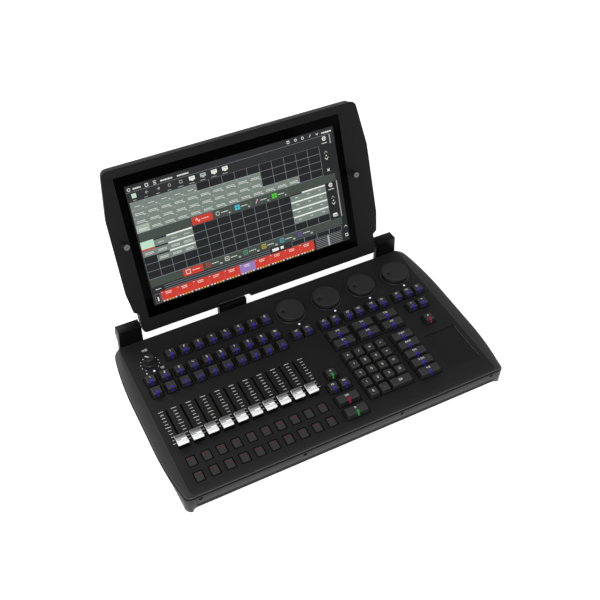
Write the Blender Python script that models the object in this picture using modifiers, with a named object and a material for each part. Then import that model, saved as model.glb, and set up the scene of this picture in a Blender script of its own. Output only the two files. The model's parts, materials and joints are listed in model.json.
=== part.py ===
"""Lighting control desk: a low console with faders, encoder wheels and keys, and a touch screen
in a lid that folds down over them.

Lengths are in millimetres here and become metres in the meshes. The deck frame has X to the
operator's right, Y to the rear with 0 at the rear edge of the control panel, and Z up with 0 on
the panel's top face. The lid frame has X along the hinge axis, Y up the screen and Z out of it.
Run it with: blender --background --python part.py
"""

import math

import bmesh
import bpy
from mathutils import Matrix, Vector

MM = 0.001
GAP = 0.3  # between neighbouring pieces

# Console outline
DECK_HEIGHT = 47.0  # panel top above the surface the desk stands on
FRONT_Y = -299.0
PANEL_FRONT_Y = -292.5
PANEL_HALF_WIDTH = 250.5
PANEL_CORNER = 5.0
PANEL_THICKNESS = 3.0
SIDE_HALF_WIDTH = 271.0  # widest, over the cheeks
SIDE_STRAIGHT = (-110.0, -200.0)  # the cheeks run straight between these
REAR_TAPER = 0.00083  # per mm, parabola behind the straight stretch
FRONT_TAPER = 0.0011
CORNER_Y = -285.0
CORNER_RADIUS = 14.0
RAIL_BOTTOM = -27.4
CHEEK_BOTTOM = -24.0
CHEEK_TIP = -31.0
CHEEK_UNDERCUT = 5.0
CHEEK_RUN = (  # depth, lower edge, and how far that edge is drawn in
    *((y, CHEEK_BOTTOM, CHEEK_UNDERCUT) for y in (-0.6, -12, -28, -48, -75, -110, -155, -200, -225)),
    (-245, -24.5, 4.6), (-260, -26.5, 3.6), (-272, -29.0, 2.4), (-280, -30.4, 1.6))
CORNER_TURN = (  # degrees round the front corner, lower edge, and how far it is drawn in
    (0, CHEEK_TIP, 1.2), (18, CHEEK_TIP, 0.9), (36, CHEEK_TIP, 0.7), (54, CHEEK_TIP, 0.5),
    (72, CHEEK_TIP, 0.5), (75, RAIL_BOTTOM, 1.6), (90, RAIL_BOTTOM, 1.6))
TRAY_FLOOR = -41.0
TRAY_WALL = 2.0
FOOT_RADIUS = 11.0

# Controls
COLUMN_PITCH = 22.96
FIRST_COLUMN = -228.8
COLUMNS = 10
KEY_SIZE = 17.4
KEY_HEIGHT = 8.0
KEY_TAPER = 2.1  # each side, base to top
WIDE_KEY = 36.8
KEY_CLEARANCE = 0.45  # key to panel, each side
WEB_TOP = -3.6
WEB_THICKNESS = 1.4
WEB_MARGIN = 1.6  # past the outermost keys
PAD_WEB_MARGIN = 0.9
PAD_PITCH = 19.25
PAD_X, PAD_Y = 57.65, -174.9
PAD_KEY_HEIGHT = 7.0
FLAT_KEY = (11.3, 15.0)
FLAT_KEY_HEIGHT = 0.5
FLAT_KEY_CLEARANCE = 1.3
FLAT_ROWS = {"flash_keys_rear": -242.3, "flash_keys_front": -269.6}
FADER_Y = -207.2  # cap centre at the bottom of its travel
FADER_TRAVEL = 60.0
FADER_SLOT = 3.0
CAP_SIZE = (17.0, 21.0)
WHEEL_X = 21.8
WHEEL_PITCH = 65.14
WHEEL_Y = -50.0
WHEEL_RADIUS = 22.35
WHEEL_TOP = 9.1
KNOB_AT = (-218.0, -50.5)
KNOB_RADIUS = 10.0
TRACKPAD_X = (186.3, 241.4)
TRACKPAD_Y = (-262.0, -191.0)

# Lid, in its own frame with V up from the lid's bottom edge and W out of its front face
LID_OPEN = math.radians(112.89)  # from closed, at rest
HINGE_Y, HINGE_Z = 10.0, 25.0
HINGE_V, HINGE_W = 12.65, -8.5
LID_TOP = 260.8
LID_HALF_WIDTH = 219.3
LID_NARROW = 207.45  # between the hinge blocks
LID_LOW_RADIUS = 6.0
LID_STEP = (33.0, 38.0)
LID_FLARE = 4.7  # taken off the half width at the top of the step
LID_STRAIGHT = (70.0, 187.0)
LID_TOP_HALF_WIDTH = 208.7
LID_BACK_INSET = 2.6  # the back is this much narrower on each side
LID_THICKNESS = 17.5
BEZEL_THICKNESS = 3.2
GLASS_CENTRE = (-8.5, 134.6)
GLASS_SIZE = (369.4, 225.6, 1.2)
BUMPER_V = 147.5
BUMPER_REACH = 193.5  # either side of the glass centre
BUMPER_RADIUS = 4.6
BUMPER_LENGTH = 16.1
BLOCK_X = (209.7, 249.3)
BLOCK_DRAFT = 3.4  # the outer face leans in by this much at the top
BLOCK_TOP = 32.0
DUCT_X = (-80.0, -32.0)
NOTCH_X = (-82.0, -25.0)
NOTCH_TOP = 4.6
PIN_RADIUS = 4.0

# Rear sockets: low and high x, low and high z of each body where it passes the rear panel
SOCKETS = {"network": (-8, 8, -33, -19), "usb": (-26.5, -12, -33, -18)}
INLET = (146, 174, -32, -11)
OUTPUT_XS = (38, 74, 110)
OUTPUT_Z = -21.0
OUTPUT_RADIUS = 11.5

LEAN = math.pi - LID_OPEN  # of the lid frame's Y axis above the deck's +Y
LID_REAR_Y = HINGE_Y + (LID_TOP - HINGE_V) * math.cos(LEAN) + (LID_THICKNESS + HINGE_W) * math.sin(LEAN)
DECK_Y = -(FRONT_Y + LID_REAR_Y) / 2  # puts the origin under the middle of the whole desk

BLACK = (0.012, 0.012, 0.012)
SATIN = (0.016, 0.016, 0.017)
GREY = (0.06, 0.06, 0.06)
KEY_GREY = (0.03, 0.03, 0.031)
BOARD = (0.02, 0.11, 0.05)
STEEL = (0.45, 0.45, 0.46)
CAP_WHITE = (0.8, 0.8, 0.8)
GLASS = (0.005, 0.005, 0.006)


def clear_scene():
    for item in list(bpy.data.objects):
        bpy.data.objects.remove(item, do_unlink=True)


def make_collection(name):
    group = bpy.data.collections.new(name)
    bpy.context.scene.collection.children.link(group)
    return group


def material(name, color, roughness, metallic=0.0):
    made = bpy.data.materials.new(name)
    made.use_nodes = True
    shader = made.node_tree.nodes["Principled BSDF"]
    shader.inputs["Base Color"].default_value = (*color, 1.0)
    shader.inputs["Roughness"].default_value = roughness
    shader.inputs["Metallic"].default_value = metallic
    return made


def smooth(item, degrees=30.0):
    item.data.shade_smooth()
    item.data.set_sharp_from_angle(angle=math.radians(degrees))


def finish(item, parent, location, color, roughness, metallic=0.0):
    """Place a piece under its frame and give it its own material."""
    item.parent = parent
    item.location = Vector(location) * MM
    item.data.materials.clear()
    item.data.materials.append(material(item.name, color, roughness, metallic))
    smooth(item)
    return item


def as_cutter(item):
    item.hide_render = True
    item.display_type = "WIRE"
    CUTTERS.objects.link(item)
    PARTS.objects.unlink(item)
    return item


def mesh_object(name, mesh):
    item = bpy.data.objects.new(name, mesh)
    PARTS.objects.link(item)
    return item


def bmesh_object(name, mesh_data):
    bmesh.ops.recalc_face_normals(mesh_data, faces=mesh_data.faces)
    mesh = bpy.data.meshes.new(name)
    mesh_data.to_mesh(mesh)
    mesh_data.free()
    return mesh_object(name, mesh)


def add_block(mesh_data, low, high, taper=0.0):
    """A box between two corners, its top drawn in by the taper on every side."""
    size = Vector(high) - Vector(low)
    middle = (Vector(high) + Vector(low)) / 2
    place = Matrix.Translation(middle * MM) @ Matrix.Diagonal((*(size * MM), 1.0))
    corners = bmesh.ops.create_cube(mesh_data, size=1.0, matrix=place)["verts"]
    for corner in corners:
        if corner.co.z > middle.z * MM:
            for i in (0, 1):
                corner.co[i] -= math.copysign(taper * MM, corner.co[i] - middle[i] * MM)


def blocks(name, boxes):
    """Boxes in one mesh: one box as a piece, or several as a cutter or an operand."""
    mesh_data = bmesh.new()
    for box in boxes:
        add_block(mesh_data, *box)
    return bmesh_object(name, mesh_data)


def cylinders(name, places, radius, low, high, segments=24, axis="Z"):
    mesh_data = bmesh.new()
    turn = {"X": Matrix.Rotation(math.pi / 2, 4, "Y"), "Y": Matrix.Rotation(math.pi / 2, 4, "X"),
            "Z": Matrix.Identity(4)}[axis]
    for place in places:
        middle = Vector(place)
        middle["XYZ".index(axis)] = (low + high) / 2
        bmesh.ops.create_cone(mesh_data, cap_ends=True, segments=segments, radius1=radius * MM,
                              radius2=radius * MM, depth=(high - low) * MM,
                              matrix=Matrix.Translation(middle * MM) @ turn)
    return bmesh_object(name, mesh_data)


def rounded(corners, segments=4):
    """Outline points from corners (x, y, radius), each corner an arc of its radius."""
    points = []
    for i, (x, y, radius) in enumerate(corners):
        if radius == 0:
            points.append((x, y))
            continue
        here = Vector((x, y))
        before = (Vector(corners[i - 1][:2]) - here).normalized()
        after = (Vector(corners[(i + 1) % len(corners)][:2]) - here).normalized()
        half = before.angle(after) / 2
        centre = here + (before + after).normalized() * radius / math.sin(half)
        start = here + before * radius / math.tan(half) - centre
        sweep = (here + after * radius / math.tan(half) - centre).angle_signed(start)
        for k in range(segments + 1):
            turn = Matrix.Rotation(sweep * k / segments, 2)
            points.append(tuple(centre + turn @ start))
    return points


def prism(name, outline, low, high, axis="Z"):
    """A flat outline given thickness between low and high along an axis."""
    curve = bpy.data.curves.new(name, "CURVE")
    curve.dimensions = "2D"
    curve.fill_mode = "BOTH"
    curve.extrude = (high - low) / 2 * MM
    line = curve.splines.new("POLY")
    line.points.add(len(outline) - 1)
    for point, (x, y) in zip(line.points, outline):
        point.co = (x * MM, y * MM, 0.0, 1.0)
    line.use_cyclic_u = True
    guide = bpy.data.objects.new(name + "_outline", curve)
    PARTS.objects.link(guide)
    if axis == "X":  # the outline's x and y become Y and Z
        guide.matrix_world = Matrix(((0, 0, 1, (low + high) / 2 * MM), (1, 0, 0, 0), (0, 1, 0, 0),
                                     (0, 0, 0, 1)))
    else:
        guide.location.z = (low + high) / 2 * MM
    bpy.context.view_layer.update()
    mesh = bpy.data.meshes.new_from_object(guide.evaluated_get(bpy.context.evaluated_depsgraph_get()))
    mesh.transform(guide.matrix_world)
    bpy.data.objects.remove(guide, do_unlink=True)
    mesh_data = bmesh.new()
    mesh_data.from_mesh(mesh)
    bpy.data.meshes.remove(mesh)
    bmesh.ops.remove_doubles(mesh_data, verts=mesh_data.verts, dist=1e-6)
    return bmesh_object(name, mesh_data)


def turned(name, profile, steps=32):
    """A profile (radius, z), run from the axis at the top to the axis at the bottom, spun about Z."""
    mesh = bpy.data.meshes.new(name)
    points = [(r * MM, 0.0, z * MM) for r, z in profile]
    mesh.from_pydata(points, [(i, i + 1) for i in range(len(points) - 1)], [])
    item = mesh_object(name, mesh)
    spin = item.modifiers.new("spin", "SCREW")
    spin.axis = "Z"
    spin.steps = steps
    spin.render_steps = steps
    spin.use_merge_vertices = True
    spin.merge_threshold = 0.00001
    return item


def boolean(item, other, operation):
    """Cut another mesh from a piece, or join it, and keep the result as the piece's own mesh."""
    change = item.modifiers.new(operation.lower(), "BOOLEAN")
    change.object = other
    change.operation = operation
    change.solver = "EXACT"
    bpy.context.view_layer.update()
    made = bpy.data.meshes.new_from_object(item.evaluated_get(bpy.context.evaluated_depsgraph_get()))
    item.modifiers.clear()
    item.data = made
    as_cutter(other)
    return item


def cut(item, other):
    return boolean(item, other, "DIFFERENCE")


def join(item, other):
    return boolean(item, other, "UNION")


def loft(name, sections):
    """Walls between closed sections of the same point count, with both ends capped."""
    mesh_data = bmesh.new()
    rings = [[mesh_data.verts.new(Vector(point) * MM) for point in section] for section in sections]
    for near, far in zip(rings, rings[1:]):
        for i in range(len(near)):
            k = (i + 1) % len(near)
            mesh_data.faces.new((near[i], near[k], far[k], far[i]))
    mesh_data.faces.new(rings[0])
    mesh_data.faces.new(rings[-1])
    bmesh.ops.triangulate(mesh_data, faces=mesh_data.faces)
    return bmesh_object(name, mesh_data)


# ---------------------------------------------------------------- key layout


def row(first, pitch, count):
    return [first + pitch * i for i in range(count)]


def keys(xs, ys, size=(KEY_SIZE, KEY_SIZE)):
    return [(x, y, *size) for y in ys for x in xs]


COLUMN_X = row(FIRST_COLUMN, COLUMN_PITCH, COLUMNS)
COMMAND_X = row(67.0, 43.7, 3)
WIDE = (WIDE_KEY, KEY_SIZE)
PAD_XS, PAD_YS = row(PAD_X, PAD_PITCH, 4), row(PAD_Y, -PAD_PITCH, 5)
RAISED_KEYS = {
    "function_keys": keys(COLUMN_X[2:], [-48.6]),
    "playback_select_keys": keys(COLUMN_X, [-84.1]),
    "playback_go_keys": keys(COLUMN_X, [-108.1]),
    "encoder_keys": keys([x + side * 9.7 for x in (18.1, *COMMAND_X) for side in (-1, 1)], [-98.6]),
    "page_keys": keys(row(192.9, 19.7, 3), [-98.0]),
    "arrow_keys": keys((203.0, 222.9), [-127.1]),
    "home_key": keys([212.6], [-162.3]),
    "edit_keys": keys(COMMAND_X, (-127.0, -147.0), WIDE),
    "menu_keys": keys([154.4], row(-175.9, -19.5, 5), WIDE),
    "preview_key": keys([18.1], [-193.4]),
    "step_keys": keys((8.4, 27.8), [-218.1]),
    "release_key": keys([18.1], [-245.0], WIDE),
    "go_key": keys([18.1], [-270.5], WIDE),
}
NUMBER_KEYS = keys(PAD_XS, PAD_YS[:4]) + keys(PAD_XS[:2], PAD_YS[4:])
ENTER_KEY = keys([(PAD_XS[2] + PAD_XS[3]) / 2], PAD_YS[4:], WIDE)
PAD_OPENING = ((PAD_XS[0] - 9.4, PAD_YS[4] - 9.4), (PAD_XS[3] + 9.4, PAD_YS[0] + 9.4))
FLAT_KEYS = {name: keys(COLUMN_X, [y], FLAT_KEY) for name, y in FLAT_ROWS.items()}


def hole_boxes():
    """One box through the panel for each control that is let into it."""
    low, high = -PANEL_THICKNESS - 2, 2
    boxes = []
    for clearance, groups in ((KEY_CLEARANCE, RAISED_KEYS), (FLAT_KEY_CLEARANCE, FLAT_KEYS)):
        for spots in groups.values():
            for x, y, wide, deep in spots:
                a, b = wide / 2 + clearance, deep / 2 + clearance
                boxes.append(((x - a, y - b, low), (x + a, y + b, high)))
    boxes.append(((*PAD_OPENING[0], low), (*PAD_OPENING[1], high)))
    for x in COLUMN_X:
        boxes.append(((x - FADER_SLOT / 2, FADER_Y - 4.5, low),
                      (x + FADER_SLOT / 2, FADER_Y + FADER_TRAVEL + 4.5, high)))
    boxes.append(((TRACKPAD_X[0] - GAP, TRACKPAD_Y[0] - GAP, low),
                  (TRACKPAD_X[1] + GAP, TRACKPAD_Y[1] + GAP, high)))
    return boxes


def key_bank(name, spots, height, taper, deck, margin=WEB_MARGIN):
    """Keys moulded on one web under the panel. The origin is on the web's middle, at panel height."""
    middle_x = sum(spot[0] for spot in spots) / len(spots)
    middle_y = sum(spot[1] for spot in spots) / len(spots)
    local = [(x - middle_x, y - middle_y, wide / 2, deep / 2) for x, y, wide, deep in spots]
    low_x = min(x - a for x, y, a, b in local) - margin
    high_x = max(x + a for x, y, a, b in local) + margin
    low_y = min(y - b for x, y, a, b in local) - margin
    high_y = max(y + b for x, y, a, b in local) + margin
    web_low = WEB_TOP - WEB_THICKNESS
    bank = blocks(name, [((low_x, low_y, web_low), (high_x, high_y, WEB_TOP))])
    stems = [((x - a, y - b, web_low + 0.4), (x + a, y + b, 0.2)) for x, y, a, b in local]
    join(bank, blocks(name + "_stems", stems))
    caps = [((x - a, y - b, -0.4), (x + a, y + b, height), taper) for x, y, a, b in local]
    join(bank, blocks(name + "_caps", caps))
    return finish(bank, deck, (middle_x, middle_y, 0), KEY_GREY, 0.5)


# ---------------------------------------------------------------- console


def side_x(y):
    """Half width of the console at a depth."""
    if y > SIDE_STRAIGHT[0]:
        return SIDE_HALF_WIDTH - REAR_TAPER * (y - SIDE_STRAIGHT[0]) ** 2
    if y < SIDE_STRAIGHT[1]:
        return SIDE_HALF_WIDTH - FRONT_TAPER * (y - SIDE_STRAIGHT[1]) ** 2
    return SIDE_HALF_WIDTH


def cheek_section(outer, inner, bottom, undercut, side):
    """A side band's section: level at the panel, a soft shoulder, and undercut below."""
    outer, inner = Vector(outer), Vector(inner)
    inward = (inner - outer).normalized()
    shape = [(inner, 0.0), (outer + inward * 2.2, -1.6), (outer + inward * 0.5, -2.9), (outer, -4.8),
             (outer + inward * undercut, bottom), (inner, bottom)]
    return [(side * at.x, at.y, z) for at, z in shape]


def make_cheek(name, side, deck):
    inner_x = PANEL_HALF_WIDTH + GAP
    sections = [cheek_section((side_x(y), y), (inner_x, y), bottom, undercut, side)
                for y, bottom, undercut in CHEEK_RUN]
    outer_centre = Vector((side_x(CORNER_Y) - CORNER_RADIUS, CORNER_Y))
    inner_centre = Vector((PANEL_HALF_WIDTH - PANEL_CORNER, PANEL_FRONT_Y + PANEL_CORNER))
    for degrees, bottom, undercut in CORNER_TURN:
        around = Vector((math.cos(math.radians(degrees)), -math.sin(math.radians(degrees))))
        outer = outer_centre + around * CORNER_RADIUS
        inner = inner_centre + around * (PANEL_CORNER + GAP)
        if degrees == 90:
            outer.x = inner.x
        sections.append(cheek_section(outer, inner, bottom, undercut, side))
    return finish(loft(name, sections), deck, (0, 0, 0), SATIN, 0.45)


def make_top_panel(deck):
    half, front = PANEL_HALF_WIDTH, PANEL_FRONT_Y
    outline = rounded([(-half, front, PANEL_CORNER), (half, front, PANEL_CORNER), (half, 0, 1),
                       (-half, 0, 1)])
    panel = prism("top_panel", outline, -PANEL_THICKNESS, 0)
    cut(panel, blocks("panel_holes", hole_boxes()))
    wheels = [(x, WHEEL_Y, 0) for x in row(WHEEL_X, WHEEL_PITCH, 4)]
    cut(panel, cylinders("panel_bores", wheels + [(*KNOB_AT, 0)], 7.0, -6, 3))
    return finish(panel, deck, (0, 0, 0), BLACK, 0.55)


def make_front_rail(deck):
    profile = [(-292.8, 0), (-295.8, 0), (-297.6, -1.2), (-297.6, -1.9), (-296.4, -2.2), (-296.4, -3.1),
               (-298.5, -3.4), (-299, -4.2), (-299, RAIL_BOTTOM + 1.6), (-297.4, RAIL_BOTTOM),
               (-286, RAIL_BOTTOM), (-286, -8), (-292.8, -6)]
    end = PANEL_HALF_WIDTH - PANEL_CORNER - GAP
    rail = prism("front_rail", profile, -end, end, axis="X")
    mesh_data = bmesh.new()
    for x in (-238, -80, 80, 238):  # countersunk screw seats
        seat = Vector((x, FRONT_Y + 0.9, -7.2))
        place = Matrix.Translation(seat * MM) @ Matrix.Rotation(math.pi / 2, 4, "X")
        bmesh.ops.create_cone(mesh_data, cap_ends=True, segments=16, radius1=0.9 * MM, radius2=2.9 * MM,
                              depth=2.0 * MM, matrix=place)
    cut(rail, bmesh_object("screw_seats", mesh_data))
    return finish(rail, deck, (0, 0, 0), GREY, 0.5, 0.4)


def make_tray(deck):
    half, front, rear = PANEL_HALF_WIDTH - 0.1, -285.6, -3.3
    top = -PANEL_THICKNESS - GAP
    outline = rounded([(-half, front, 4), (half, front, 4), (half, rear, 0), (-half, rear, 0)])
    tray = prism("base_tray", outline, TRAY_FLOOR, top)
    wall = TRAY_WALL
    inside = ((-half + wall, front + wall, TRAY_FLOOR + wall), (half - wall, 10, 5))
    cut(tray, blocks("tray_inside", [inside]))
    return finish(tray, deck, (0, 0, 0), SATIN, 0.5, 0.3)


def make_rear_panel(deck):
    half = PANEL_HALF_WIDTH - 0.1
    panel = blocks("rear_panel", [((-half, -2.9, TRAY_FLOOR), (half, -0.1, -PANEL_THICKNESS - GAP))])
    cut(panel, blocks("rear_cutouts", [((x0 - GAP, -6, z0 - GAP), (x1 + GAP, 3, z1 + GAP))
                                       for x0, x1, z0, z1 in (*SOCKETS.values(), INLET)]))
    cut(panel, cylinders("output_bores", [(x, 0, OUTPUT_Z) for x in OUTPUT_XS], OUTPUT_RADIUS + GAP, -6, 3,
                         axis="Y"))
    return finish(panel, deck, (0, 0, 0), SATIN, 0.5, 0.3)


def make_connector_board(deck):
    """Board with the network and USB sockets and the data outputs soldered to it."""
    board = blocks("connector_board", [((-34, -48, -34.2), (128, -4.5, -32.6))])
    housings = [((x0, -22, z0), (x1, 0.8, z1)) for x0, x1, z0, z1 in SOCKETS.values()]
    housings += [((x - 12.5, -28, -33), (x + 12.5, -4.2, -9.5)) for x in OUTPUT_XS]
    join(board, blocks("socket_housings", housings))
    outputs = [(x, 0, OUTPUT_Z) for x in OUTPUT_XS]
    join(board, cylinders("output_noses", outputs, OUTPUT_RADIUS, -6, 1.2, axis="Y"))
    cut(board, cylinders("output_faces", outputs, OUTPUT_RADIUS - 1.4, 0.0, 4, axis="Y"))
    net, usb = SOCKETS["network"], SOCKETS["usb"]
    cavities = [((net[0] + 2, -11, net[2] + 3), (net[1] - 2, 3, net[3] - 2.5)),
                ((usb[0] + 1.2, -11, usb[2] + 1.6), (usb[1] - 1.2, 3, usb[2] + 6.6)),
                ((usb[0] + 1.2, -11, usb[3] - 6.6), (usb[1] - 1.2, 3, usb[3] - 1.6))]
    cut(board, blocks("socket_cavities", cavities))
    return finish(board, deck, (0, 0, 0), BOARD, 0.5)


def make_power_inlet(deck):
    x0, x1, z0, z1 = INLET
    inlet = blocks("power_inlet", [((x0, -26, z0), (x1, 1.0, z1))])
    join(inlet, blocks("inlet_flange", [((x0 - 4, 0.3, z0 - 2), (x1 + 4, 2.4, z1 + 2))]))
    cut(inlet, blocks("inlet_cavity", [((x0 + 2.5, -14, z0 + 3), (x1 - 2.5, 5, z1 - 3))]))
    return finish(inlet, deck, (0, 0, 0), BLACK, 0.4)


def make_hinge_block(name, side, deck):
    profile = rounded([(0.2, -20, 0), (0.2, BLOCK_TOP, 1.2), (18.5, BLOCK_TOP - 1.4, 1.5), (19.5, 15, 2),
                       (7, 8, 0), (7, -20, 0)])
    low, high = sorted(side * x for x in BLOCK_X)
    block = prism(name, profile, low, high, axis="X")
    for vertex in block.data.vertices:
        if abs(vertex.co.x) > (BLOCK_X[0] + 1) * MM and vertex.co.z > 0:
            vertex.co.x -= side * BLOCK_DRAFT * vertex.co.z / BLOCK_TOP
    low, high = sorted((side * (BLOCK_X[0] - 5), side * 230.4))
    cut(block, cylinders(name + "_bore", [(0, HINGE_Y, HINGE_Z)], PIN_RADIUS + 0.06, low, high, axis="X"))
    return finish(block, deck, (0, 0, 0), BLACK, 0.4)


def make_hinge_pin(name, side, deck):
    low, high = sorted((side * 198.0, side * 230.0))
    pin = cylinders(name, [(0, 0, 0)], PIN_RADIUS, low, high, axis="X")
    return finish(pin, deck, (0, HINGE_Y, HINGE_Z), STEEL, 0.3, 1.0)


def make_cable_duct(deck):
    profile = rounded([(0.2, -20, 0), (0.2, 11.5, 2.5), (10, 11.5, 4), (10, -20, 1)])
    return finish(prism("cable_duct", profile, *DUCT_X, axis="X"), deck, (0, 0, 0), BLACK, 0.45)


def make_boards(deck):
    """The boards and the supply that the console holds inside."""
    board = blocks("main_board", [((-60, -230, -34), (130, -70, -32.4))])
    join(board, blocks("processor_cooler", [((20, -180, -33), (90, -110, -16))]))
    fins = [((24 + 8 * i, -184, -29), (28 + 8 * i, -106, -12)) for i in range(8)]
    cut(board, blocks("cooler_gaps", [(low, (high[0], high[1], -10)) for low, high in fins]))
    finish(board, deck, (0, 0, 0), BOARD, 0.5)
    supply = blocks("power_supply", [((140, -190, -36), (236, -40, -16))])
    finish(supply, deck, (0, 0, 0), STEEL, 0.4, 0.9)
    faders = blocks("fader_board", [((COLUMN_X[0] - 12, -222, -19), (COLUMN_X[-1] + 12, -132, -17.4))])
    tracks = [((x - 4, FADER_Y - 8, -18), (x + 4, FADER_Y + FADER_TRAVEL + 8, -6)) for x in COLUMN_X]
    finish(join(faders, blocks("fader_tracks", tracks)), deck, (0, 0, 0), BOARD, 0.5)
    contacts = blocks("key_board", [((-246, -283, -13), (246, -31, -11.4))])
    cut(contacts, blocks("key_board_window", [((-246 + 3, -226, -20), (-8, -126, 0))]))
    finish(contacts, deck, (0, 0, 0), BOARD, 0.5)


def make_trackpad(deck):
    pad = blocks("trackpad", [((TRACKPAD_X[0], TRACKPAD_Y[0], -2.0), (TRACKPAD_X[1], TRACKPAD_Y[1], -0.5))])
    join(pad, blocks("trackpad_module", [((190, -256, -9), (237, -197, -1.5))]))
    return finish(pad, deck, (0, 0, 0), BLACK, 0.35)


def make_feet(deck):
    for name, x, y in (("foot_front_left", -222, -262), ("foot_front_right", 222, -262),
                       ("foot_rear_left", -222, -26), ("foot_rear_right", 222, -26)):
        top = TRAY_FLOOR - GAP
        foot = turned(name, [(0, top), (FOOT_RADIUS, top), (FOOT_RADIUS, -DECK_HEIGHT + 1.2),
                             (FOOT_RADIUS - 1.2, -DECK_HEIGHT), (0, -DECK_HEIGHT)], 24)
        finish(foot, deck, (x, y, 0), BLACK, 0.8)


# ---------------------------------------------------------------- controls that move


def make_fader_caps(deck):
    half_x, half_y = CAP_SIZE[0] / 2, CAP_SIZE[1] / 2
    rise = [(half_y, 3.2), (9.4, 9.4), (7.6, 10.6), (5.6, 10.1), (2.6, 8.7), (0, 8.2)]
    profile = [(-half_y, 1.0)] + [(-y, z) for y, z in rise] + rise[-2::-1] + [(half_y, 1.0)]
    for number, x in enumerate(COLUMN_X, 1):
        cap = prism(f"fader_cap_{number}", profile, -half_x, half_x, axis="X")
        join(cap, blocks(f"fader_stem_{number}", [((-0.8, -2.5, -5.2), (0.8, 2.5, 1.6))]))
        finish(cap, deck, (x, FADER_Y, 0), CAP_WHITE, 0.25, 0.3)


def make_wheels(deck):
    profile = [(0, WHEEL_TOP), (20.8, WHEEL_TOP), (WHEEL_RADIUS, 7.8), (WHEEL_RADIUS, 2.2), (21.2, 0.6),
               (6, 0.6), (6, -9.5), (0, -9.5)]
    for number, x in enumerate(row(WHEEL_X, WHEEL_PITCH, 4), 1):
        wheel = turned(f"encoder_wheel_{number}", profile)
        mesh_data = bmesh.new()
        bmesh.ops.create_uvsphere(mesh_data, u_segments=12, v_segments=8, radius=12 * MM,
                                  matrix=Matrix.Translation(Vector((-12.6, 0, WHEEL_TOP + 10.6)) * MM))
        cut(wheel, bmesh_object(f"finger_dimple_{number}", mesh_data))
        finish(wheel, deck, (x, WHEEL_Y, 0), GREY, 0.55)


def make_knob(deck):
    profile = [(0, 15.5), (7.0, 15.5), (7.8, 14.8), (9.0, 4.5), (KNOB_RADIUS, 3.5), (KNOB_RADIUS, 0.8),
               (3, 0.8), (3, -9.5), (0, -9.5)]
    finish(turned("grand_master_knob", profile, 24), deck, (*KNOB_AT, 0), BLACK, 0.4)


def make_keys(deck):
    for name, spots in RAISED_KEYS.items():
        key_bank(name, spots, KEY_HEIGHT, KEY_TAPER, deck)
    for name, spots in FLAT_KEYS.items():
        key_bank(name, spots, FLAT_KEY_HEIGHT, 0, deck)
    numbers = key_bank("number_keys", NUMBER_KEYS, PAD_KEY_HEIGHT, KEY_TAPER, deck, PAD_WEB_MARGIN)
    key_bank("enter_key", ENTER_KEY, PAD_KEY_HEIGHT, KEY_TAPER, deck, PAD_WEB_MARGIN)
    x, y, wide, deep = ENTER_KEY[0]
    around = PAD_WEB_MARGIN + GAP  # the number keys' web leaves the wide key's web free
    beside = ((x - wide / 2 - around, y - 20, -9), (x + 30, y + deep / 2 + around, 9))
    window = blocks("enter_window", [beside])
    window.parent = deck
    bpy.context.view_layer.update()
    cut(numbers, window)
    smooth(numbers)




# ---------------------------------------------------------------- lid


def lid_outline(inset=0.0):
    """Half of the lid's outline is worked out, and the other half mirrors it."""
    widest = LID_HALF_WIDTH - inset
    half = [(LID_NARROW, 0, LID_LOW_RADIUS), (LID_NARROW, LID_STEP[0], 0), (widest - LID_FLARE, LID_STEP[1], 0),
            (widest, LID_STRAIGHT[0], 20), (widest, LID_STRAIGHT[1], 20),
            (LID_TOP_HALF_WIDTH - inset, LID_TOP, 10)]
    corners = half + [(-x, v, r) for x, v, r in reversed(half)]
    return [(x, v - HINGE_V) for x, v in rounded(corners)]


def lid_box(u, v, w):
    """Corners in the hinge frame from ranges in the lid's own measures."""
    return ((u[0], v[0] - HINGE_V, w[0] - HINGE_W), (u[1], v[1] - HINGE_V, w[1] - HINGE_W))


def centred(middle, size):
    return (middle - size / 2, middle + size / 2)


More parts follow.
